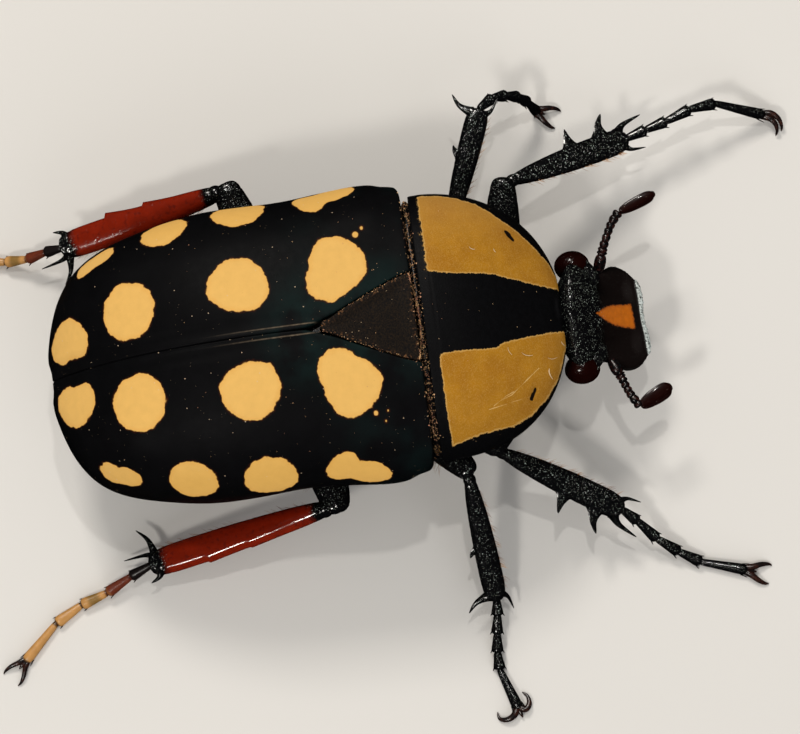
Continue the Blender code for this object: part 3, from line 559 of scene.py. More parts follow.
def shell_plate(node, name, bevel, cuts=()):
    """A plate's solid made fine, with its points, its normals and their distances to its border."""
    piece = from_solid(node, name)
    for x in cuts:
        with editing(piece):
            bpy.ops.mesh.bisect(plane_co=(x, 0.0, 0.0), plane_no=(1.0, 0.0, 0.0))
    border = sharp_line(piece)
    with editing(piece):
        choose(piece, is_sharp, "edges")
        bpy.ops.mesh.bevel(offset=bevel, segments=2, profile=0.6, affect="EDGES")
    subdivide(piece, 3)
    points, normals = surface(piece)
    return piece, points, normals, np.array([border.find(point)[2] for point in points])


def cell_grain(points, scale):
    """Rounded grains: 1 on each grain's top, 0 between them."""
    near = np.array([noise.voronoi(Vector(point) * scale)[0][0] for point in points])
    return np.clip(1 - near / 0.5, 0.0, 1.0)


def roughen(piece, scale, rise, share=1.0):
    """Raise grains, or sink pits, over a piece; the share may differ from point to point."""
    points, normals = surface(piece)
    points += normals * (cell_grain(points, scale) * rise * share)[:, None]
    move_points(piece, points)


def publish(piece, finish, slot, *nodes):
    """Bring a finished piece to metres at its place, and hand it to the frame."""
    pick(piece)
    bpy.ops.object.shade_smooth_by_angle(angle=SMOOTH)
    piece.location = ORIGIN
    piece.scale = (MM, MM, MM)
    bpy.ops.object.transform_apply(location=True, rotation=True, scale=True)
    piece.data.materials.clear()
    piece.data.materials.append(finish)
    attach(piece, "root")
    if nodes:
        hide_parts(*nodes)


# Materials, written as sums on sockets

def math_node(operation, turned=False):
    """Method that adds one Math node to a wire's finish, its two inputs turned round where asked."""
    def method(*values):
        inputs = dict(enumerate(values[::-1] if turned else values))
        return values[0].finish.node("ShaderNodeMath", {"operation": operation}, inputs)
    return method


class Wire:
    """An output socket that takes part in sums: each operator adds its Math node."""
    __add__ = __radd__ = math_node("ADD")
    __mul__ = __rmul__ = math_node("MULTIPLY")
    __sub__ = math_node("SUBTRACT")
    __rsub__ = math_node("SUBTRACT", turned=True)
    __gt__ = math_node("GREATER_THAN")
    __lt__ = math_node("LESS_THAN")
    __abs__ = math_node("ABSOLUTE")
    largest = math_node("MAXIMUM")
    smallest = math_node("MINIMUM")
    fraction = math_node("FRACT")

    def __init__(self, finish, socket):
        self.finish = finish
        self.socket = socket

    def rise(self, low, high):
        """Smooth rise from 0 at low to 1 at high."""
        inputs = {"Value": self, "From Min": low, "From Max": high}
        return self.finish.node("ShaderNodeMapRange", {"interpolation_type": "SMOOTHSTEP"}, inputs)


class Finish:
    """A material whose nodes are added by sums."""

    def __init__(self, name, gloss, coat=0.0, coat_roughness=0.03):
        self.material = bpy.data.materials.new(name)
        self.material.use_nodes = True
        self.tree = self.material.node_tree
        self.shader = self.tree.nodes["Principled BSDF"].inputs
        self.shader["Specular IOR Level"].default_value = gloss
        self.shader["Coat Weight"].default_value = coat
        self.shader["Coat Roughness"].default_value = coat_roughness
        moved = self.vector("SUBTRACT", self.node("ShaderNodeTexCoord", output=3), ORIGIN)
        self.place = self.scaled(moved, 1 / MM)  # in millimetres, in the beetle's frame

    def node(self, kind, settings=None, inputs=None, output=0):
        made = self.tree.nodes.new(kind)
        for key, value in (settings or {}).items():
            setattr(made, key, value)
        for key, value in (inputs or {}).items():
            self.feed(made.inputs[key], value)
        return Wire(self, made.outputs[output])

    def feed(self, socket, value):
        if isinstance(value, Wire):
            self.tree.links.new(value.socket, socket)
        elif isinstance(value, (int, float)):
            socket.default_value = value
        else:
            room = len(socket.default_value)
            socket.default_value = (*value, 1.0)[:room]

    def vector(self, operation, a, b, output=0):
        return self.node("ShaderNodeVectorMath", {"operation": operation}, {0: a, 1: b}, output)

    def scaled(self, vector, factor):
        return self.node("ShaderNodeVectorMath", {"operation": "SCALE"}, {0: vector, "Scale": factor})

    def axis(self, index):
        return self.node("ShaderNodeSeparateXYZ", None, {0: self.place}, index)

    def value(self, attribute):
        return self.node("ShaderNodeAttribute", {"attribute_name": attribute}, None, 2)

    def noise(self, scale, detail=2.0, roughness=0.5):
        inputs = {"Vector": self.place, "Scale": scale, "Detail": detail, "Roughness": roughness}
        return self.node("ShaderNodeTexNoise", None, inputs)

    def waver(self, scale, detail, amount):
        """Noise about 0, over a range of the amount."""
        return (self.noise(scale, detail) - 0.5) * amount

    def cells(self, scale, output=0):
        """Distance to the nearest point of a random scatter, or with output 1 that point's own colour."""
        return self.node("ShaderNodeTexVoronoi", None, {"Vector": self.place, "Scale": scale}, output)

    def specks(self, density, size):
        """Mask of scattered specks: density is cells a millimetre, size a share of a cell."""
        near = self.cells(density)
        tone = self.node("ShaderNodeSeparateColor", None, {0: self.cells(density, 1)})
        return (near < size) * (tone > 0.72)

    def layers(self, colour, *coats):
        """Colour under coats of other colours, each with its own share, from 0 to 1."""
        for share, coat in coats:
            colour = self.node("ShaderNodeMix", {"data_type": "RGBA"}, {0: share, 6: colour, 7: coat}, 2)
        return colour

    def tint(self, colour, share, amount):
        """Colour made lighter and darker by a share that runs from 0 to 1."""
        inputs = {"Value": share, "To Min": 1 - amount, "To Max": 1 + amount}
        return self.scaled(colour, self.node("ShaderNodeMapRange", None, inputs))

    def line(self, start, end):
        """Distance, seen from above, to the straight line between two places."""
        run = Vector((*end, 0.0)) - Vector((*start, 0.0))
        flat = self.vector("MULTIPLY", self.place, (1.0, 1.0, 0.0))
        offset = self.vector("SUBTRACT", flat, (*start, 0.0))
        share = self.vector("DOT_PRODUCT", offset, run / run.length_squared, 1)
        nearest = self.scaled(run, share.largest(0.0).smallest(1.0))
        return self.vector("DISTANCE", offset, nearest, 1)

    def done(self, colour, roughness, height=None, coat=None):
        """Feed the shader; the height of the relief is in millimetres."""
        self.feed(self.shader["Base Color"], colour)
        self.feed(self.shader["Roughness"], roughness)
        if height:
            bump = self.node("ShaderNodeBump", None, {"Strength": 1.0, "Distance": MM, "Height": height})
            self.feed(self.shader["Normal"], bump)
        if coat:
            self.feed(self.shader["Coat Weight"], coat)
        return self.material


def wing_cover_finish():
    look = Finish("wing cover shell", gloss=0.045)
    beside, y = abs(look.axis(0)), look.axis(1)
    ragged = look.waver(1.3, 1.0, 0.42) + look.waver(3.8, 1.0, 0.17)
    inside = look.value("spot") + ragged
    for start, radius in SATELLITES:
        away = look.line(start, (start[0] + 0.04, start[1]))
        inside = inside.largest(radius - away + ragged * 0.3)
    spot = inside.rise(-0.04, 0.04)
    pale = look.layers(
        look.tint(colours().spots, look.noise(1.6, 4.0), 0.08),
        (inside.rise(0.4, 0.0) * 0.4, (0.66, 0.33, 0.07)),
        (beside.rise(7.0, 9.5) * 0.4, (0.68, 0.37, 0.07)),
        (look.cells(2.3).rise(0.06, 0.03) * 0.5, (0.3, 0.14, 0.04)),
    )
    # painted sheen: teal clouds over the front of the covers and a teal streak beside the scutellum stand in
    # for a dark teal sheen
    painted_sheen_cloud = look.noise(0.3, 3.0).rise(0.42, 0.75) * y.rise(12.0, 2.0)
    sheen = look.line((0.0, 2.5), (0.0, 7.0)).rise(6.0, 2.2) * look.noise(0.45, 3.0).rise(0.3, 0.6)
    # painted highlight: a lighter brown line beside the suture stands in for the gleam on its fine ridge,
    # which the relief also raises
    seam = abs(beside - 0.36).rise(0.08, 0.0) * y.rise(7.2, 8.4) * y.rise(16.0, 9.0)
    dust = look.specks(1.9, 0.07) + look.specks(4.2, 0.06) * 0.6
    colour = look.layers(
        look.tint(colours().shell, look.noise(0.7, 3.0), 0.35),
        (painted_sheen_cloud * 0.7, (0.003, 0.008, 0.008)),
        (sheen * 0.8, (0.004, 0.012, 0.0115)),
        (inside.rise(-0.16, -0.02) * 0.8, (0.03, 0.006, 0.002)),
        (seam * look.noise(3.0, 2.0), (0.2, 0.15, 0.1)),
        (spot, pale),
        ((dust * 0.8).smallest(1.0), (0.62, 0.47, 0.32)),
    )
    height = look.noise(26.0, 2.0) * 0.003 - look.cells(9.0).rise(0.22, 0.05) * 0.006
    height += look.noise(1.1, 3.0) * 0.015 + spot * 0.01 + seam * 0.02 + look.waver(14.0, 2.0, 0.01) * spot
    return look.done(colour, look.noise(2.2, 4.0) * 0.16 + 0.4 + spot * 0.14, height)


def scutellum_finish():
    look = Finish("scutellum shell", gloss=0.06)
    rub = look.noise(9.0, 4.0, 0.7)
    grime = look.noise(6.0, 3.0).rise(0.55, 0.68) * look.value("edge").rise(0.4, 0.08)
    colour = look.layers(
        colours().shell,
        (rub.rise(0.35, 0.75), (0.02, 0.012, 0.006)),
        (grime * 0.6, (0.2, 0.09, 0.035)),
        (look.specks(3.5, 0.09) * 0.8, (0.68, 0.48, 0.28)),
    )
    return look.done(colour, rub * 0.2 + 0.4, look.cells(7.0).rise(0.3, 0.05) * -0.012 + rub * 0.01)


def pronotum_finish():
    look = Finish("pronotum shell", gloss=0.06)
    ragged = look.waver(2.6, 2.0, 0.22) + look.waver(9.0, 1.0, 0.14)
    inside = look.value("patch") + ragged * look.value("patch").rise(1.2, 0.1)
    patch = inside.rise(-0.03, 0.03)
    scratch = reduce(Wire.smallest, [look.line(*ends) for line in SCRATCHES for ends in zip(line, line[1:])])
    scratch = (scratch + look.waver(0.9, 3.0, 0.12)).rise(0.035, 0.01) * look.noise(1.6, 2.0).rise(0.3, 0.5)
    marks = reduce(Wire.smallest, [look.line(*ends) for ends in MARKS]) + look.waver(2.2, 1.0, 0.26)
    ochre = look.layers(
        look.tint(colours().pronotum, look.noise(1.3, 5.0, 0.6), 0.2),
        (look.noise(0.4, 3.0).rise(0.42, 0.66) * 0.5, (0.26, 0.1, 0.006)),
        (look.noise(7.0, 3.0).rise(0.5, 0.75) * 0.3, (0.46, 0.25, 0.06)),
        (look.noise(13.0, 2.0).rise(0.45, 0.7) * 0.35, (0.5, 0.28, 0.07)),
        (look.axis(0).rise(4.0, 9.5) * 0.35, (0.5, 0.27, 0.07)),
        (inside.rise(0.13, 0.02) * 0.6, (0.6, 0.37, 0.12)),
        (look.cells(4.0).rise(0.13, 0.04) * 0.5, (0.1, 0.035, 0.006)),
        (scratch * 0.65, (0.68, 0.45, 0.17)),
    )
    colour = look.layers(
        look.tint(colours().shell, look.noise(3.0, 3.0), 0.4),
        (patch, ochre),
        (marks.rise(MARK_HALF_WIDTH + 0.02, MARK_HALF_WIDTH - 0.02) * patch, (0.006, 0.004, 0.003)),
        (look.specks(2.3, 0.06) * (1 - patch) * 0.8, (0.6, 0.4, 0.22)),
    )
    height = patch * 0.012 - look.cells(6.0).rise(0.3, 0.06) * 0.008 + look.waver(10.0, 3.0, 0.014)
    return look.done(colour, look.noise(4.0, 3.0) * 0.15 + 0.4, height - scratch * patch * 0.01)


def head_finish():
    look = Finish("head shell", gloss=0.12, coat_roughness=0.1)
    hollow = look.value("hollow")
    wedge = (look.value("wedge") + look.waver(5.0, 2.0, 0.25)).rise(-0.08, 0.1)
    # painted highlight: a whitish colour along the front rim stands in for the gleam of its upturned edge
    wear_and_painted_highlight = look.noise(7.0, 2.0).rise(0.3, 0.55) * look.value("rim").rise(0.3, 0.9)
    # painted glints: pale specks on the forehead, in patches of varying strength, stand in for light
    # sparkling on its grains
    painted_glint_strength = look.noise(2.2, 2.0).rise(0.35, 0.68) * 0.55 + 0.25
    painted_glints = (look.specks(5.2, 0.16) + look.specks(8.1, 0.25)).smallest(1.0)
    orange = look.layers(
        look.tint(colours().wedge, look.noise(3.0, 4.0), 0.3),
        (look.value("wedge").rise(0.3, 0.0) * 0.6, (0.36, 0.08, 0.006)),
    )
    colour = look.layers(
        look.tint(colours().shell, look.noise(5.0, 3.0), 0.5),
        (hollow * 0.8, (0.005, 0.002, 0.0015)),
        (wedge, orange),
        (wear_and_painted_highlight * 0.9, (0.6, 0.66, 0.64)),
        # painted glints, a finer and dimmer layer
        (look.specks(10.5, 0.32) * (1 - hollow) * 0.6, (0.13, 0.15, 0.12)),
        (painted_glints * (1 - hollow * 0.97) * painted_glint_strength, (0.47, 0.54, 0.48)),
    )
    height = look.cells(5.5).rise(0.5, 0.1) * 0.05 * (1 - hollow) + look.noise(16.0, 2.0) * 0.004
    return look.done(colour, 0.3 + hollow * 0.4 - wedge * 0.1, height, coat=(1 - hollow) * 0.35)


def eye_finish():
    look = Finish("eye", gloss=0.25, coat=0.15, coat_roughness=0.08)
    facets = look.cells(16.0).rise(0.5, 0.1)
    colour = look.tint((0.008, 0.0012, 0.0008), look.noise(1.5, 3.0), 0.5)
    return look.done(colour, facets * 0.1 + 0.16, facets * 0.004)


def stalk_finish():
    look = Finish("antenna stalk", gloss=0.6)
    wear_and_painted_highlight = look.noise(4.0, 3.0)
    colour = look.layers(colours().shell, (wear_and_painted_highlight.rise(0.45, 0.7) * 0.6, (0.05, 0.01, 0.006)))
    return look.done(colour, wear_and_painted_highlight * 0.15 + 0.18, look.noise(9.0, 2.0) * 0.015)


def club_finish():
    look = Finish("antenna club", gloss=0.12, coat=0.4, coat_roughness=0.08)
    wear_and_painted_highlight = look.noise(3.0, 4.0)
    red = look.tint((0.01, 0.0012, 0.0006), wear_and_painted_highlight, 0.5)
    colour = look.layers(red, (look.specks(4.0, 0.09), (0.4, 0.3, 0.25)))
    return look.done(colour, wear_and_painted_highlight * 0.2 + 0.28, look.cells(9.0).rise(0.3, 0.05) * -0.01)


def pitted_black(look, pit_scale):
    """Colour, roughness and height of a pitted black limb, with glints painted on its crest."""
    wrinkle = look.noise(5.5, 4.0, 0.6)
    glint = look.value("glint")
    # painted glints: on the upward crest, patches of pale specks stand in for light sparkling on the grains
    painted_glint_patches = glint * look.noise(1.5, 2.0).rise(0.36, 0.56)
    painted_glint_strength = look.noise(2.6, 2.0).rise(0.36, 0.66) * 0.6 + 0.25
    painted_glints = (look.specks(4.7, 0.2) + look.specks(6.9, 0.27)).smallest(1.0)
    colour = look.layers(
        look.tint(colours().shell, look.noise(1.2, 3.0), 0.4),
        (wrinkle.rise(0.6, 0.85) * 0.3, (0.02, 0.007, 0.004)),
        # pale specks, partly dust and partly painted glints
        (look.specks(4.0, 0.07) * 0.7, (0.45, 0.38, 0.3)),
        # painted glints, a finer and dimmer layer on the crest
        (look.specks(10.5, 0.32) * glint * 0.6, (0.13, 0.15, 0.12)),
        (painted_glints * painted_glint_patches * painted_glint_strength, (0.47, 0.55, 0.5)),
    )
    return colour, wrinkle * 0.12 + 0.12, look.cells(pit_scale).rise(0.42, 0.14) * -0.04 + wrinkle * 0.016


def leg_finish():
    look = Finish("black leg shell", gloss=0.8, coat=0.4, coat_roughness=0.07)
    return look.done(*pitted_black(look, 4.6))


def hind_tibia_finish():
    look = Finish("red shin shell", gloss=0.4, coat=0.7, coat_roughness=0.08)
    # the black ends take the pitted black colour, painted glints included
    black, rough, height = pitted_black(look, 2.6)
    t = look.value("along") + look.waver(1.6, 3.0, 0.07)
    dark = t.rise(0.87, 0.93).largest(t.rise(0.07, 0.02))
    colour = look.layers(
        look.tint(colours().hind_tibia, look.noise(0.9, 4.0), 0.35),
        (look.noise(3.0, 4.0).rise(0.52, 0.72) * 0.5, (0.05, 0.005, 0.004)),
        (dark, black),
    )
    return look.done(colour, rough, height * (dark * 0.75 + 0.25))


def hind_tarsus_finish():
    look = Finish("amber foot shell", gloss=0.5)
    t = look.value("along") + look.waver(2.5, 2.0, 0.12)
    off_middle = abs(look.value("along").fraction() - 0.5)
    amber = look.layers(
        look.tint(colours().tarsus, look.noise(2.0, 4.0), 0.3),
        (off_middle.rise(0.32, 0.1) * t.rise(3.0, 2.6) * 0.75, (0.15, 0.09, 0.015)),
        (off_middle.rise(0.42, 0.48) * 0.9, (0.02, 0.007, 0.004)),
    )
    red = look.layers((0.07, 0.009, 0.005), (look.noise(3.0, 3.0), (0.18, 0.035, 0.01)))
    colour = look.layers((0.008, 0.005, 0.005), (t.rise(0.85, 1.15), red), (t.rise(1.8, 2.2), amber))
    return look.done(colour, look.noise(4.0, 2.0) * 0.2 + 0.22, look.noise(8.0, 3.0) * 0.02)


def claw_finish():
    look = Finish("claw", gloss=0.6)
    wear_and_painted_highlight = look.noise(3.0, 3.0)
    colour = look.layers((0.008, 0.005, 0.005), (wear_and_painted_highlight.rise(0.4, 0.7), (0.035, 0.01, 0.006)))
    return look.done(colour, wear_and_painted_highlight * 0.15 + 0.18, look.noise(7.0, 2.0) * 0.008)


def underside_finish():
    look = Finish("underside shell", gloss=0.4)
    fine = look.noise(4.0, 4.0, 0.6)
    colour = look.layers(
        look.tint(colours().shell, look.noise(0.6, 3.0), 0.5),
        (fine.rise(0.6, 0.85) * 0.35, (0.03, 0.011, 0.006)),
        (look.specks(3.0, 0.09) * 0.8, (0.5, 0.28, 0.13)),
    )
    return look.done(colour, fine * 0.2 + 0.25, look.cells(2.1).rise(0.4, 0.12) * -0.05 + fine * 0.03)


def hair_finish(name, one, other):
    look = Finish(name, gloss=0.4)
    tone = look.noise(0.9, 2.0)
    return look.done(look.layers(one, (tone.rise(0.35, 0.65), other)), tone * 0.2 + 0.35)


def dust_finish():
    look = Finish("dust", gloss=0.3)
    tone = look.noise(3.0, 2.0)
    colour = look.layers(colours().dust, (tone.rise(0.35, 0.65), (0.68, 0.42, 0.2)))
    return look.done(colour, tone * 0.2 + 0.4, look.noise(30.0) * 0.01)


def floor_finish():
    look = Finish("studio floor", gloss=0.2)
    tone = look.noise(0.02, 3.0)
    return look.done(look.tint(colours().floor, tone, 0.02), tone * 0.05 + 0.75)


# Shell plates

def spot_field(points, outer, normals):
    """Distance inside the nearest spot's outline, in millimetres, positive within a spot."""
    side = np.array((1.0 if points[:, 0].mean() > 0 else -1.0, 1.0, 1.0))
    mirrored, flipped = points * side, normals * side
    field = np.full(len(points), -BEYOND)
    for place, radius, *waves in SPOTS:
        away = ((mirrored - place) ** 2).sum(1) + (~outer) * 100.0
        centre, normal = mirrored[away.argmin()], flipped[away.argmin()]
        forward = np.array((0.0, 1.0, 0.0)) - normal * normal[1]
        forward /= np.linalg.norm(forward)
        outward = np.cross(normal, forward)
        outward *= np.sign(outward[0])
        offset = mirrored - centre
        a, b = offset @ forward, offset @ outward
        turn = np.arctan2(b, a)
        edge = radius
        for i, (cosine, sine) in enumerate(waves, 1):
            edge = edge + cosine * np.cos(i * turn) + sine * np.sin(i * turn)
        inside = edge - np.hypot(a, b)
        inside[offset @ normal < -2.6] = -BEYOND
        field = np.maximum(field, inside)
    field[~outer] = -BEYOND
    return field


def build_wing_cover(side):
    sign = SIDES[side]
    cuts = [x * sign for x in SUTURE_CUTS]
    piece, points, normals, edge = shell_plate("elytron_" + side, side + "_wing_cover", 0.12, cuts)
    beside, y = np.abs(points[:, 0]), points[:, 1].copy()
    core = np.stack([beside * 0.0, y * 0.9 + 1.0, beside * 0.0 + 7.0], 1)
    outwards = ((points - core) * normals).sum(1) > 0
    flank, rear = step(5.0, 8.0, beside) * step(1.2, 2.4, y), step(18.0, 24.0, y) * step(0.8, 2.0, beside)
    rim = hump(0.2, 0.22, edge) * millimetres_of("rim_rise") - hump(0.5, 0.3, edge) * 0.03
    rise = rim * np.maximum(flank, rear)
    behind = step(SCUTELLUM_TIP_Y - 0.3, SCUTELLUM_TIP_Y + 0.8, y)
    rise += hump(0.24, 0.24, beside) * behind * millimetres_of("suture_rise")
    rise -= hump(0.85, 0.65, beside) * behind * (0.03 + 0.07 * step(12.0, 20.0, y))
    rise += np.array([noise.noise(Vector(point) * 0.35) for point in points]) * 0.035
    points += normals * (rise * outwards)[:, None]
    seam = SUTURE_HALF_GAP + np.where(y < SCUTELLUM_TIP_Y, level(SCUTELLUM_SIDE, y) + SUTURE_HALF_GAP, 0.0)
    close = np.clip(1 - (beside - seam) / 1.2, 0.0, 1.0)
    points[:, 0] -= sign * (SUTURE_HALF_GAP - 0.03) * close
    points[:, 1] -= 0.24 * step(2.0, 0.95, y)
    corner = np.clip((beside - SHOULDER_X + SHOULDER_ROUNDING) / SHOULDER_ROUNDING, 0.0, 1.0)
    points[:, 1] += 0.6 * (1 - np.sqrt(1 - corner ** 2)) * step(3.2, 0.9, y)
    mark(piece, "spot", spot_field(points, outwards, normals))
    move_points(piece, points)
    return piece


def build_scutellum():
    piece, points, normals, edge = shell_plate("scutellum", "scutellum_plate", 0.08)
    mark(piece, "edge", edge)
    beside = np.abs(points[:, 0])
    points[:, 2] -= step(0.1, 0.9, edge) * 0.06 * (normals[:, 2] > 0.3)
    points[:, 0] *= 1.0 + 0.12 / np.maximum(beside, 1.0) * (beside > 0.3)
    points[:, 1] += 0.55 * step(6.5, 7.5, points[:, 1]) - 0.24 * step(2.0, 0.95, points[:, 1])
    move_points(piece, points)
    return piece


def build_pronotum():
    piece, points, normals, edge = shell_plate("pronotum", "pronotum_plate", 0.12)
    top = normals[:, 2] > 0.05
    x, y = points[:, 0].copy(), points[:, 1].copy()
    patch = np.maximum(*(within_outline(corners, x, y) for corners in PATCHES))
    mark(piece, "patch", np.where(top, patch, -1.0))
    rim = hump(0.2, 0.24, edge) * millimetres_of("rim_rise") - hump(0.52, 0.26, edge) * 0.05
    dark = np.minimum(*(to_segment(x, y, start, end) for start, end in MARKS))
    rise = rim * step(-0.9, -1.6, y) - hump(0.0, 0.3, dark) * 0.06
    points += normals * (rise * top)[:, None]
    lip = step(-0.35, 0.0, points[:, 2] - collar_height(x))
    points[:, 1] += (0.3 + 0.22 * lip) * step(-0.5, -0.3, y)
    points[:, 2] -= 0.14 * step(-0.8, -0.3, y) * top
    move_points(piece, points)
    with editing(piece):
        choose(piece, lambda face: (face.calc_center_median() - PRONOTUM_NOSE).length < 1.7)
        bpy.ops.mesh.vertices_smooth(factor=0.5, repeat=14)
    return piece


def build_stray_hairs(plate):
    """Pale curved hairs that lie on the pronotum."""
    hairs = []
    for x, y, turn, length, thickness in STRAY_HAIRS:
        knots = []
        for part, bow in ((-0.5, 0.0), (-0.15, 0.12), (0.2, 0.13), (0.5, 0.0)):
            at_x = x + length * (part * cos(radians(turn)) - bow * sin(radians(turn)))
            at_y = y + length * (part * sin(radians(turn)) + bow * cos(radians(turn)))
            height = plate.ray_cast((at_x, at_y, 30.0), -UP)[1].z
            knots.append(Vector((at_x, at_y, height + 0.04)))
        hairs.append(rod(knots, [thickness * share for share in (0.5, 1.0, 0.9, 0.4)]))
    return join("stray_hairs", hairs)


# Head

def turned_head(piece):
    pivot = Matrix.Translation(NECK)
    piece.data.transform(pivot @ Matrix.Rotation(HEAD_TURN, 4, "Z") @ pivot.inverted())
    return piece


def lying(name, rings, sides, power):
    """Upright body through rings of y, half width, top and bottom, to be laid down towards the front."""
    stations = [(-y, half, (top - bottom) / 2, 0.0, (top + bottom) / 2) for y, half, top, bottom in rings]
    return upright(name, stations, sides, power)


def lay_down(piece):
    return stand(piece, (0.0, 0.0, 0.0), (0.0, -1.0, 0.0), (1.0, 0.0, 0.0))


def build_head():
    piece = lay_down(lying("head_shell", HEAD_RINGS, 32, 2.8))
    points, normals = surface(piece)
    x, y = points[:, 0].copy(), points[:, 1].copy()
    beside = np.abs(x)
    top = step(0.02, 0.35, normals[:, 2])
    inwards = level([ring[:2] for ring in HEAD_RINGS[::-1]], y) - beside
    clypeus = step(-12.2, -13.0, y) * step(-15.3, -14.6, y)
    front = step(-15.38, -15.55, y)
    side_rim = step(0.5, 0.1, inwards) * step(-12.6, -13.2, y)
    wedge = np.minimum(level(WEDGE, y) - beside, np.minimum(y - WEDGE_FRONT_Y, WEDGE[-1][0] - y))
    grain = cell_grain(points, 4.4)
    rise = step(-12.9, -12.1, y) * grain * millimetres_of("grain_rise")
    rise += np.maximum(front * 0.2, side_rim * 0.1) * (0.8 + 0.5 * grain)
    rise += (hump(0.0, 1.2, x) * 0.08 - hump(1.95, 1.45, beside) * 0.4) * clypeus
    rise -= hump(0.0, 1.3, x) * hump(-11.2, 1.2, y) * 0.14
    rise += hump(2.55, 0.6, beside) * hump(-11.6, 1.3, y) * 0.12
    notch = hump(-0.2, 1.6, x) * step(-15.3, -15.7, y)
    points += normals * (rise * top)[:, None]
    points[:, 1] += notch * 0.16 + HEAD_SKEW * x * step(-12.4, -15.0, y)
    mark(piece, "wedge", np.where(top > 0.2, wedge, -1.0))
    mark(piece, "hollow", np.clip(step(-12.3, -12.9, y) - front, 0.0, 1.0))
    mark(piece, "rim", np.maximum(front, side_rim * 0.35) * top)
    move_points(piece, points)
    return turned_head(piece)


def build_eye(side):
    pick()
    bpy.ops.mesh.primitive_uv_sphere_add(segments=48, ring_count=32, radius=1.0, location=(0, 0, 0))
    piece = bpy.context.object
    piece.name = side + "_eye"
    with editing(piece):
        bpy.ops.transform.resize(value=EYE_RADII, center_override=(0.0, 0.0, 0.0))
        bpy.ops.transform.translate(value=(EYE_CENTRE.x * SIDES[side], EYE_CENTRE.y, EYE_CENTRE.z))
    roughen(piece, 9.0, 0.012)
    return turned_head(piece)


def build_canthus(side):
    """Grainy blade that runs from the clypeus over the front of the eye."""
    sign = SIDES[side]
    blade = upright(side + "_canthus", CANTHUS_PROFILE, sides=14, power=2.2)
    roughen(blade, 3.6, 0.09)
    mark(blade, "wedge", -1.0)
    stand(blade, (2.5 * sign, -12.2, 8.0), (1.6 * sign, 0.8, 0.3), (0.0, 1.0, 0.25))
    return turned_head(blade)


def build_mouthparts():
    """Lower lip, jaws and feelers below the head."""
    lip = lying("lip", LIP_RINGS, 16, 2.4)
    roughen(lip, 2.5, -0.05)
    pieces = [lay_down(lip)]
    for sign, (knots, radii) in product(SIDES.values(), MOUTH_RODS):
        pieces.append(rod([(x * sign, y, z) for x, y, z in knots], radii, 5))
    return turned_head(join("mouth_pieces", pieces))


def build_bead(start, end, radius):
    """One joint of the stalk, rounded and widest towards its far end."""
    length = (end - start).length
    shape = [(t * length, radius * k, radius * k) for t, k in BEAD_PROFILE]
    return stand(upright("bead", shape, sides=12, levels=2), start, end - start, UP)


def build_antenna(side):
    """Large first joint, a chain of shiny beads, and the club of three pressed leaves."""
    tip, half_width, spread, *knots = ANTENNAE[side]
    knots = [Vector(point) for point in knots]
    base = knots[0] + (knots[0] - knots[1]).normalized() * 0.5
    pieces = [build_bead(base, knots[0].lerp(knots[1], 0.62), 0.44)]
    chain = [knots[0].lerp(knots[1], 0.68)] + knots[1:]
    joints = [along(chain, i / len(BEAD_RADII)) for i in range(len(BEAD_RADII) + 1)]
    pieces += [build_bead(*place) for place in zip(joints, joints[1:], BEAD_RADII)]
    stalk = join(side + "_antenna_stalk", pieces)
    run = Vector(tip) - knots[-1]
    leaves = []
    for layer in (-1, 0, 1):
        length = run.length * (1.0 - 0.05 * abs(layer))
        leaf = upright("leaf", [
            (t * length, half_width * k, 0.15 * k ** 0.5, spread * layer * k * 0.6, layer * 0.24 * k ** 0.4)
            for t, k in LEAF_PROFILE
        ], sides=14)
        leaves.append(stand(leaf, knots[-1] + run.normalized() * 0.04, run, (1.0, 0.0, 0.15 * layer)))
    return stalk, join(side + "_antenna_club", leaves)


# Underside

def build_from_core(node, name, voxel):
    """Copy of a cut solid, remeshed evenly so that its facets and edges can be smoothed."""
    piece = from_solid(node, name)
    apply_modifier(piece, "REMESH", mode="VOXEL", voxel_size=voxel)
    apply_modifier(piece, "SMOOTH", factor=0.5, iterations=6)
    return piece


def collar_height(x):
    """Height of the strip that shows between the pronotum and the wing covers."""
    return 9.6 + 5.0 * (1 - np.clip(np.abs(x) / 9.9, 0.0, 1.0) ** 2.2) ** (1 / 2.2)


def sink_collar(piece):
    """Lower the strip before the wing covers, so that it reads as a groove."""
    points, _ = surface(piece)
    beside, y, z = np.abs(points[:, 0]), points[:, 1], points[:, 2]
    strip = step(-0.7, -0.1, y) * step(1.6, 1.1, y) * step(7.5, 9.0, z)
    points[:, 0] *= 1 - 0.04 * strip * step(7.5, 9.5, beside)
    points[:, 2] -= 0.32 * strip
    move_points(piece, points)


# Legs

class Leg:
    """Places, directions and sizes of one leg."""

    def __init__(self, name):
        kind, knee, ankle, outer, *joints = LEGS[name]
        root, self.thigh, self.knee_radius, self.shin, self.foot_radius = LEG_KINDS[kind]
        self.name, self.kind, self.hind = name, kind, kind == "hind"
        self.root = Vector((root[0] * SIDES[name.split("_")[1]], *root[1:]))
        self.knee, self.ankle = Vector(knee), Vector(ankle)
        self.joints = [Vector(joint) for joint in joints]
        self.run = (self.ankle - self.knee).normalized()
        self.side = (Vector(outer) - self.run * Vector(outer).dot(self.run)).normalized()
        self.start = self.knee + self.run * (self.knee_radius + GAP)


def mark_glint(piece):
    """Mark the crest of a limb, the side that faces GLINT_WAY, where glints are painted into its colour."""
    mark(piece, "glint", step(0.6, 0.93, surface(piece)[1] @ np.array(GLINT_WAY)))
    return piece


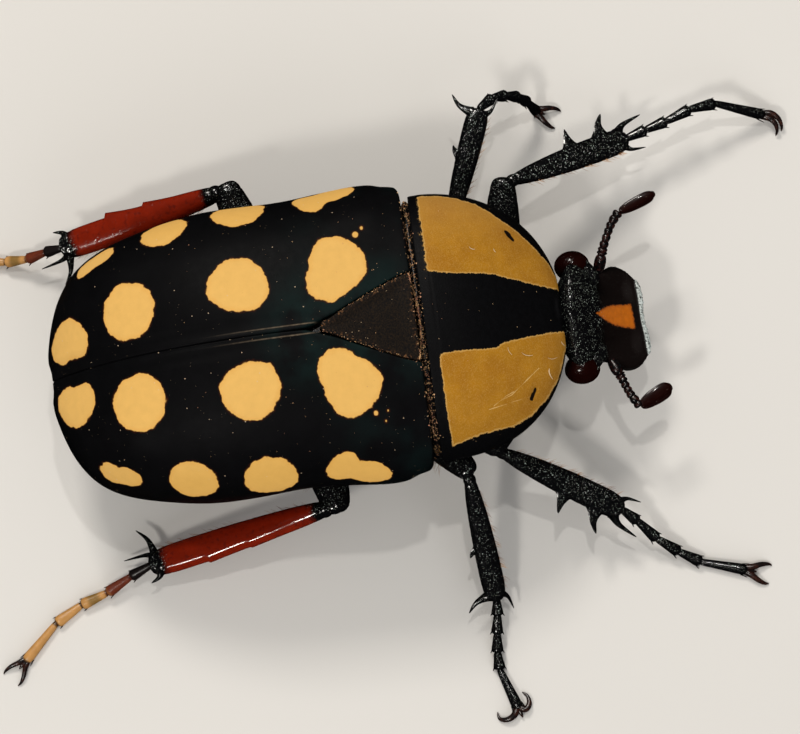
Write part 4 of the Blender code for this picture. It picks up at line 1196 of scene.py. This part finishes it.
def build_femur(leg):
    wide, deep = leg.thigh
    run = leg.knee - leg.root
    length = run.length + leg.knee_radius * 0.6
    shape = [(t * length, wide * k, deep * k, sin(pi * t) * 0.1) for t, k in FEMUR_PROFILE]
    thigh = upright(leg.name + "_femur", shape, power=2.1)
    roughen(thigh, 3.2, -0.05)
    collar = upright("trochanter", [(h, r, r) for h, r in TROCHANTER_PROFILE], sides=14, levels=2)
    pieces = [stand(piece, leg.root, run, UP.cross(run)) for piece in (thigh, collar)]
    return mark_glint(join(leg.name + "_femur", pieces))


def build_tibia(leg):
    narrow, wide, thin = leg.shin
    length = (leg.ankle - leg.start).length
    shape = [(back * leg.knee_radius, narrow * k, narrow * k) for back, k in KNEE_KNOB]
    shape += [
        (t * length, narrow + (wide - narrow) * k, narrow + (thin - narrow) * k) for t, k in TIBIA_PROFILE
    ]
    shaft = upright(leg.name + "_tibia", shape, power=2.2)
    points, normals = surface(shaft)
    place = points[:, 2] / length
    if leg.hind:
        share = step(0.0, 0.6, normals[:, 0]) * (1.0 if leg.name == "hind_left" else 0.4)
        for top, height in STEPS:
            rise = np.clip((place - top + STEP_RUN) / STEP_RUN, 0.0, 1.0) ** 1.5 * (place < top)
            points[:, 0] += share * height * rise
    keel = hump(1.1, 0.5, np.arctan2(normals[:, 1], normals[:, 0])) * 0.09
    points += normals * (keel * step(0.1, 0.3, place) * step(1.0, 0.9, place))[:, None]
    move_points(shaft, points)
    if leg.hind:
        roughen(shaft, 2.6, -0.035, 0.2 + step(0.86, 0.92, place))
    else:
        roughen(shaft, 4.2, -0.05)
    mark(shaft, "along", place)
    pieces = [stand(shaft, leg.start, leg.run, leg.side)]
    for share, sideways, forwards, up, radius in HORNS[leg.kind]:
        middle = leg.start.lerp(leg.ankle, share)
        tip = middle + leg.side * sideways + leg.run * forwards + UP * up
        tip.z = max(tip.z, 0.25)
        root = middle + leg.side * wide * (0.6 if sideways > 0 else -0.55)
        bend = leg.side * 0.1 * sideways - leg.run * 0.16 * abs(forwards)
        if sideways > 0 and share < 0.9:
            spike = tooth(root, tip, radius, bend, leg.run.cross(leg.side).normalized())
        else:
            spike = horn(root, tip, radius, bend)
        mark(spike, "along", 1.0)
        pieces.append(spike)
    return mark_glint(join(leg.name + "_tibia", pieces))


def build_tarsus(leg):
    """Five joints, each with a short spine at either side of its end."""
    pieces = []
    for i, (start, end) in enumerate(zip([leg.ankle] + leg.joints, leg.joints)):
        length = (end - start).length
        run = (end - start).normalized()
        radius = leg.foot_radius * (0.92 if end is leg.joints[-1] else 1.0)
        joint = upright("tarsomere", [
            (t * length, radius * k, radius * k * 0.94) for t, k in TARSOMERE_PROFILE
        ], sides=12, levels=2)
        mark(joint, "along", surface(joint)[0][:, 2] / length + i)
        pieces.append(stand(joint, start, run, UP))
        across = UP.cross(run).normalized() * leg.foot_radius
        down = -UP * leg.foot_radius
        for turn in (-1, 1):
            root = start.lerp(end, 0.86) + across * turn * 0.8 + down * 0.2
            tip = end + run * (0.0 if leg.hind else 0.04) + across * turn * 1.05 + down * 0.35
            spine = rod([root, root.lerp(tip, 0.6), tip], (0.055, 0.04, 0.014), 2)
            mark(spine, "along", 0.1)
            pieces.append(spine)
    return mark_glint(rest_on_floor(join(leg.name + "_tarsus", pieces)))


def rest_on_floor(piece):
    points, _ = surface(piece)
    points[:, 2] = np.maximum(points[:, 2], 0.0)
    move_points(piece, points)
    return piece


def build_claws(leg):
    """Two curved hooks on the last joint, with a small bristly pad between them."""
    root = leg.joints[-1]
    run = ((root - leg.joints[-2]) * Vector((1.0, 1.0, 0.0))).normalized()
    side = UP.cross(run)
    slim = 0.8 if leg.hind else 1.0
    pieces = []
    for turn, path in zip((-1, 1), CLAW_PATHS.get(leg.name, (CLAW_PATH, CLAW_PATH))):
        knots = []
        for (forwards, apart), (rise, least) in zip(path, CLAW_HEIGHTS):
            spot = root + run * forwards + side * apart * turn
            knots.append(Vector((spot.x, spot.y, max(root.z + rise, least))))
        pieces.append(rod(knots, [slim * radius for radius in CLAW_RADII], 6))
    pad = [root + run * forwards for forwards in (-0.1, 0.35, 0.65)]
    pieces.append(rod([Vector((p.x, p.y, max(p.z - 0.02, 0.2))) for p in pad], (0.2, 0.14, 0.03)))
    return rest_on_floor(join(leg.name + "_claws", pieces))


# Bristles and dust

def build_bristles(name, roots, thickness):
    """One mesh of thin three-sided bristles, each from its root, direction, length and bend."""
    points, faces = [], []
    for root, direction, length, bend in roots:
        direction = direction.normalized()
        across = direction.cross(Vector((0.31, 0.22, 0.92))).normalized()
        other = direction.cross(across)
        base = len(points)
        for share, radius in ((0.0, 1.0), (0.55, 0.75)):
            middle = root + direction * length * share + bend * length * share ** 2
            for i in range(3):
                angle = 2 * pi * i / 3
                points.append(middle + (across * cos(angle) + other * sin(angle)) * thickness * radius)
        points.append(root + direction * length + bend * length)
        for i, j in ((0, 1), (1, 2), (2, 0)):
            faces.append((base + i, base + j, base + 3 + j, base + 3 + i))
            faces.append((base + 3 + i, base + 3 + j, base + 6))
        faces.append((base + 2, base + 1, base))
    return from_faces(name, points, faces)


def collar_roots(draw):
    """Roots of the bristles in the strip before the wing covers."""
    for _ in range(COLLAR_BRISTLES):
        x = draw.uniform(-9.2, 9.2)
        root = Vector((x, draw.uniform(0.2, 0.7), float(collar_height(x))))
        direction = Vector((draw.uniform(-0.6, 0.6), draw.uniform(-0.9, 0.9), draw.uniform(0.5, 1.0)))
        yield root, direction, draw.uniform(0.15, 0.4), Vector((0.0, 0.0, 0.0))


def fringe_roots(leg, draw):
    """Roots of the bristles along the inner edge of a shin and the hind edge of a thigh."""
    narrow, broad, _ = leg.shin
    for _ in range(SHIN_BRISTLES):
        t = draw.uniform(0.06, 0.92)
        half = narrow + (broad - narrow) * float(level(TIBIA_PROFILE, t))
        lift = UP * draw.uniform(-0.18, 0.18)
        place = leg.start.lerp(leg.ankle, t) - leg.side * half * 0.93 + lift
        way = leg.run * draw.uniform(0.5, 1.2) - leg.side * draw.uniform(0.4, 1.0) + lift
        yield place, way, draw.uniform(0.3, 0.7), leg.run * 0.15
    thigh = (leg.knee - leg.root).normalized()
    back = UP.cross(thigh).normalized()
    back *= 1 if back.y > 0 else -1
    for _ in range(THIGH_BRISTLES):
        t = draw.uniform(0.2, 0.8)
        half = leg.thigh[0] * float(level(FEMUR_PROFILE, t))
        place = leg.root.lerp(leg.knee, t) + back * half * 0.93 + UP * draw.uniform(-0.25, 0.1)
        way = back + thigh * draw.uniform(0.2, 0.9) + UP * draw.uniform(-0.5, 0.2)
        yield place, way, draw.uniform(0.35, 0.9), thigh * 0.2


def dust_places(draw):
    """Where dust lies: in the strip before the wing covers, round the scutellum, and sparsely on top."""
    places = []
    for _ in range(COLLAR_GRAINS):
        y = draw.triangular(0.1, 0.85, 0.5)
        places.append((draw.uniform(-9.5, 9.5), y, draw.triangular(0.015, 0.075, 0.025)))
    for _ in range(RIM_GRAINS):
        x = draw.uniform(-3.1, 3.1)
        places.append((x, 0.46 + 0.04 * x * x + draw.uniform(-0.05, 0.05), draw.uniform(0.02, 0.05)))
    for _ in range(SEAM_GRAINS):
        y = draw.uniform(0.95, 7.7)
        x = float(level(SCUTELLUM_SIDE, y)) + draw.uniform(0.02, 0.2)
        places.append((x * draw.choice((-1, 1)), y, draw.triangular(0.012, 0.05, 0.018)))
    for _ in range(STRAY_GRAINS):
        x = draw.uniform(-8.5, 8.5)
        places.append((x, draw.triangular(-8.5, 22.0, 2.0), draw.triangular(0.012, 0.045, 0.016)))
    return places


def build_dust(draw):
    """Small irregular grains, each of eight faces, as one mesh on the uppermost finished surfaces."""
    view = bpy.context.evaluated_depsgraph_get()
    trees = [BVHTree.FromObject(bpy.data.objects[name], view) for name in DUSTY_PIECES]
    points, faces = [], []
    for x, y, size in dust_places(draw):
        above = ORIGIN + Vector((x, y, 40.0)) * MM
        hits = [tree.ray_cast(above, -UP)[0] for tree in trees]
        height = max((hit.z / MM for hit in hits if hit), default=0.0)
        if height < LOWEST_DUST:
            continue
        middle = Vector((x, y, height + size * 0.3))
        base = len(points)
        for axis, sign in product(range(3), (1, -1)):
            corner = middle.copy()
            corner[axis] += sign * size * draw.uniform(0.6, 1.3)
            points.append(corner)
        faces += [(base + a, base + b, base + c) for a, b, c in product((0, 1), (2, 3), (4, 5))]
    return from_faces("dust", points, faces)


# Stage

def build_floor():
    pick()
    bpy.ops.mesh.primitive_plane_add(size=1.6, location=(0.0, 0.0, 0.0))
    floor = bpy.context.object
    floor.name = "floor"
    floor.data.materials.append(floor_finish())
    floor.visible_glossy = False


def build_lights():
    world = bpy.data.worlds.new("studio air")
    world.use_nodes = True
    air = world.node_tree.nodes["Background"].inputs
    air["Color"].default_value = (1.0, 0.97, 0.93, 1.0)
    air["Strength"].default_value = 0.36
    bpy.context.scene.world = world
    world.cycles_visibility.glossy = False
    for name, place, size, power, colour, glossy in LAMPS:
        lamp = bpy.data.lights.new(name, "AREA")
        lamp.shape = "SQUARE"
        lamp.size = size
        lamp.energy = power
        lamp.color = colour
        holder = link(name, lamp)
        holder.location = place
        holder.visible_glossy = glossy
        holder.rotation_euler = (LAMP_TARGET - Vector(place)).to_track_quat("-Z", "Y").to_euler()


def build_camera():
    """Camera at the photo's angle: it looks down, leans over, and is rolled like the picture."""
    right = Vector((0.0, -1.0, 0.0))
    view = Vector((sin(CAMERA_LEAN), 0.0, -cos(CAMERA_LEAN)))
    down = Vector((-cos(CAMERA_LEAN), 0.0, -sin(CAMERA_LEAN)))
    ahead = cos(CAMERA_PITCH) * view - sin(CAMERA_PITCH) * right
    right = cos(CAMERA_PITCH) * right + sin(CAMERA_PITCH) * view
    across = cos(CAMERA_ROLL) * right + sin(CAMERA_ROLL) * down
    below = cos(CAMERA_ROLL) * down - sin(CAMERA_ROLL) * right
    camera = bpy.data.cameras.new("photo camera")
    camera.sensor_width = SENSOR_WIDTH
    camera.lens = FOCAL_PIXELS * SENSOR_WIDTH / PHOTO_WIDTH
    camera.clip_start = 0.01
    holder = link("photo camera", camera)
    place = ORIGIN + (CAMERA_TARGET - CAMERA_DISTANCE * ahead) * MM
    turn = Matrix((across, -below, -ahead)).transposed().to_4x4()
    holder.matrix_world = Matrix.Translation(place) @ turn
    bpy.context.scene.camera = holder


# Operators, one for each group of pieces and one for the stage

class BeetlePiece:
    bl_options = {"REGISTER", "UNDO"}


class BEETLE_OT_wing_covers(BeetlePiece, bpy.types.Operator):
    """Model the two spotted wing covers and the plate between them"""
    bl_idname = "beetle.wing_covers"
    bl_label = "Wing Covers"

    def execute(self, context):
        finish = wing_cover_finish()
        for side in SIDES:
            publish(build_wing_cover(side), finish, "wing_covers", "elytron_" + side)
        publish(build_scutellum(), scutellum_finish(), "scutellum", "scutellum")
        return {"FINISHED"}


class BEETLE_OT_pronotum(BeetlePiece, bpy.types.Operator):
    """Model the shield behind the head"""
    bl_idname = "beetle.pronotum"
    bl_label = "Pronotum"

    def execute(self, context):
        plate = build_pronotum()
        hairs = build_stray_hairs(plate)
        publish(plate, pronotum_finish(), "pronotum", "pronotum")
        publish(hairs, hair_finish("pale hair", (0.8, 0.66, 0.45), (0.6, 0.42, 0.22)), "pronotum")
        return {"FINISHED"}


class BEETLE_OT_head(BeetlePiece, bpy.types.Operator):
    """Model the head, the eyes and the mouthparts"""
    bl_idname = "beetle.head"
    bl_label = "Head"

    def execute(self, context):
        shell = head_finish()
        publish(build_head(), shell, "head", "head")
        glass = eye_finish()
        for side in SIDES:
            publish(build_eye(side), glass, "eyes", "eye_" + side)
            publish(build_canthus(side), shell, "head")
        publish(build_mouthparts(), underside_finish(), "head", "mouthparts")
        return {"FINISHED"}


class BEETLE_OT_antennae(BeetlePiece, bpy.types.Operator):
    """Model the beaded antennae and their clubs"""
    bl_idname = "beetle.antennae"
    bl_label = "Antennae"

    def execute(self, context):
        black, red = stalk_finish(), club_finish()
        for side in SIDES:
            stalk, club = build_antenna(side)
            publish(stalk, black, "antenna_stalks", "antenna_" + side)
            publish(club, red, "antenna_clubs", "antenna_club_" + side)
        return {"FINISHED"}


class BEETLE_OT_underside(BeetlePiece, bpy.types.Operator):
    """Model the plates of the underside and the hips"""
    bl_idname = "beetle.underside"
    bl_label = "Underside"

    def execute(self, context):
        finish = underside_finish()
        for node, voxel in (("thorax", 0.14), ("abdomen", 0.14), ("pygidium", 0.12), ("prosternum", 0.12)):
            plates = build_from_core(node, node + "_plates", voxel)
            if node == "thorax":
                sink_collar(plates)
            publish(plates, finish, "underside", node)
        for name in LEGS:
            publish(build_from_core("coxa_" + name, name + "_hip", 0.09), finish, "underside", "coxa_" + name)
        return {"FINISHED"}


class BEETLE_OT_legs(BeetlePiece, bpy.types.Operator):
    """Model the six legs, from the thighs to the claws"""
    bl_idname = "beetle.legs"
    bl_label = "Legs"

    def execute(self, context):
        black, red, amber, claw = leg_finish(), hind_tibia_finish(), hind_tarsus_finish(), claw_finish()
        for name in LEGS:
            leg = Leg(name)
            shin, foot = (red, amber) if leg.hind else (black, black)
            shin_slot, foot_slot = ("hind_tibiae", "hind_tarsi") if leg.hind else ("black_legs", "black_legs")
            publish(build_femur(leg), black, "black_legs", "femur_" + name)
            publish(build_tibia(leg), shin, shin_slot, "tibia_" + name)
            publish(build_tarsus(leg), foot, foot_slot, "tarsus_" + name)
            publish(build_claws(leg), claw, "claws", "claws_" + name)
        return {"FINISHED"}


class BEETLE_OT_bristles(BeetlePiece, bpy.types.Operator):
    """Grow the bristles along the collar and on the legs"""
    bl_idname = "beetle.bristles"
    bl_label = "Bristles"

    def execute(self, context):
        brown = hair_finish("bristle", colours().hair, (0.5, 0.26, 0.1))
        gold = hair_finish("golden hair", (0.4, 0.2, 0.07), (0.62, 0.36, 0.14))
        draw = random.Random(7)
        publish(build_bristles("collar_bristles", collar_roots(draw), 0.014), gold, "underside")
        for name in LEGS:
            fringe = build_bristles(name + "_fringe", fringe_roots(Leg(name), draw), 0.016)
            publish(fringe, brown, "black_legs")
        return {"FINISHED"}


class BEETLE_OT_dust(BeetlePiece, bpy.types.Operator):
    """Settle the dust in the grooves between the plates"""
    bl_idname = "beetle.dust"
    bl_label = "Dust"

    def execute(self, context):
        publish(build_dust(random.Random(11)), dust_finish(), "underside")
        return {"FINISHED"}


class BEETLE_OT_stage(BeetlePiece, bpy.types.Operator):
    """Set up the floor, the soft lights and the camera"""
    bl_idname = "beetle.stage"
    bl_label = "Stage"

    def execute(self, context):
        build_floor()
        build_lights()
        build_camera()
        return {"FINISHED"}


# Add-on registration

class BEETLE_PT_looks(bpy.types.Panel):
    """Lists the beetle's sizes, colours and pieces"""
    bl_idname = "BEETLE_PT_looks"
    bl_label = "Flower Beetle"
    bl_space_type = "VIEW_3D"
    bl_region_type = "UI"
    bl_category = "Beetle"

    def draw(self, context):
        for group in (context.scene.beetle_sizes, context.scene.beetle_colours):
            box = self.layout.box()
            for key in group.__annotations__:
                box.prop(group, key)
        for piece in PIECES:
            self.layout.operator(piece.bl_idname)


PIECES = (
    BEETLE_OT_wing_covers, BEETLE_OT_pronotum, BEETLE_OT_head, BEETLE_OT_antennae, BEETLE_OT_underside,
    BEETLE_OT_legs, BEETLE_OT_bristles, BEETLE_OT_dust, BEETLE_OT_stage,
)
CLASSES = (BeetleSizes, BeetleColours, *PIECES, BEETLE_PT_looks)


def register():
    for item in CLASSES:
        bpy.utils.register_class(item)
    bpy.types.Scene.beetle_sizes = bpy.props.PointerProperty(type=BeetleSizes)
    bpy.types.Scene.beetle_colours = bpy.props.PointerProperty(type=BeetleColours)


def unregister():
    del bpy.types.Scene.beetle_colours
    del bpy.types.Scene.beetle_sizes
    for item in reversed(CLASSES):
        bpy.utils.unregister_class(item)


def main():
    register()
    bpy.ops.beetle.wing_covers()
    bpy.ops.beetle.pronotum()
    bpy.ops.beetle.head()
    bpy.ops.beetle.antennae()
    bpy.ops.beetle.underside()
    bpy.ops.beetle.legs()
    bpy.ops.beetle.bristles()
    bpy.ops.beetle.dust()
    bpy.ops.beetle.stage()
    bpy.context.scene.view_settings.view_transform = "Standard"
    bpy.context.scene.cycles.caustics_reflective = False


if __name__ == "__main__":
    main()
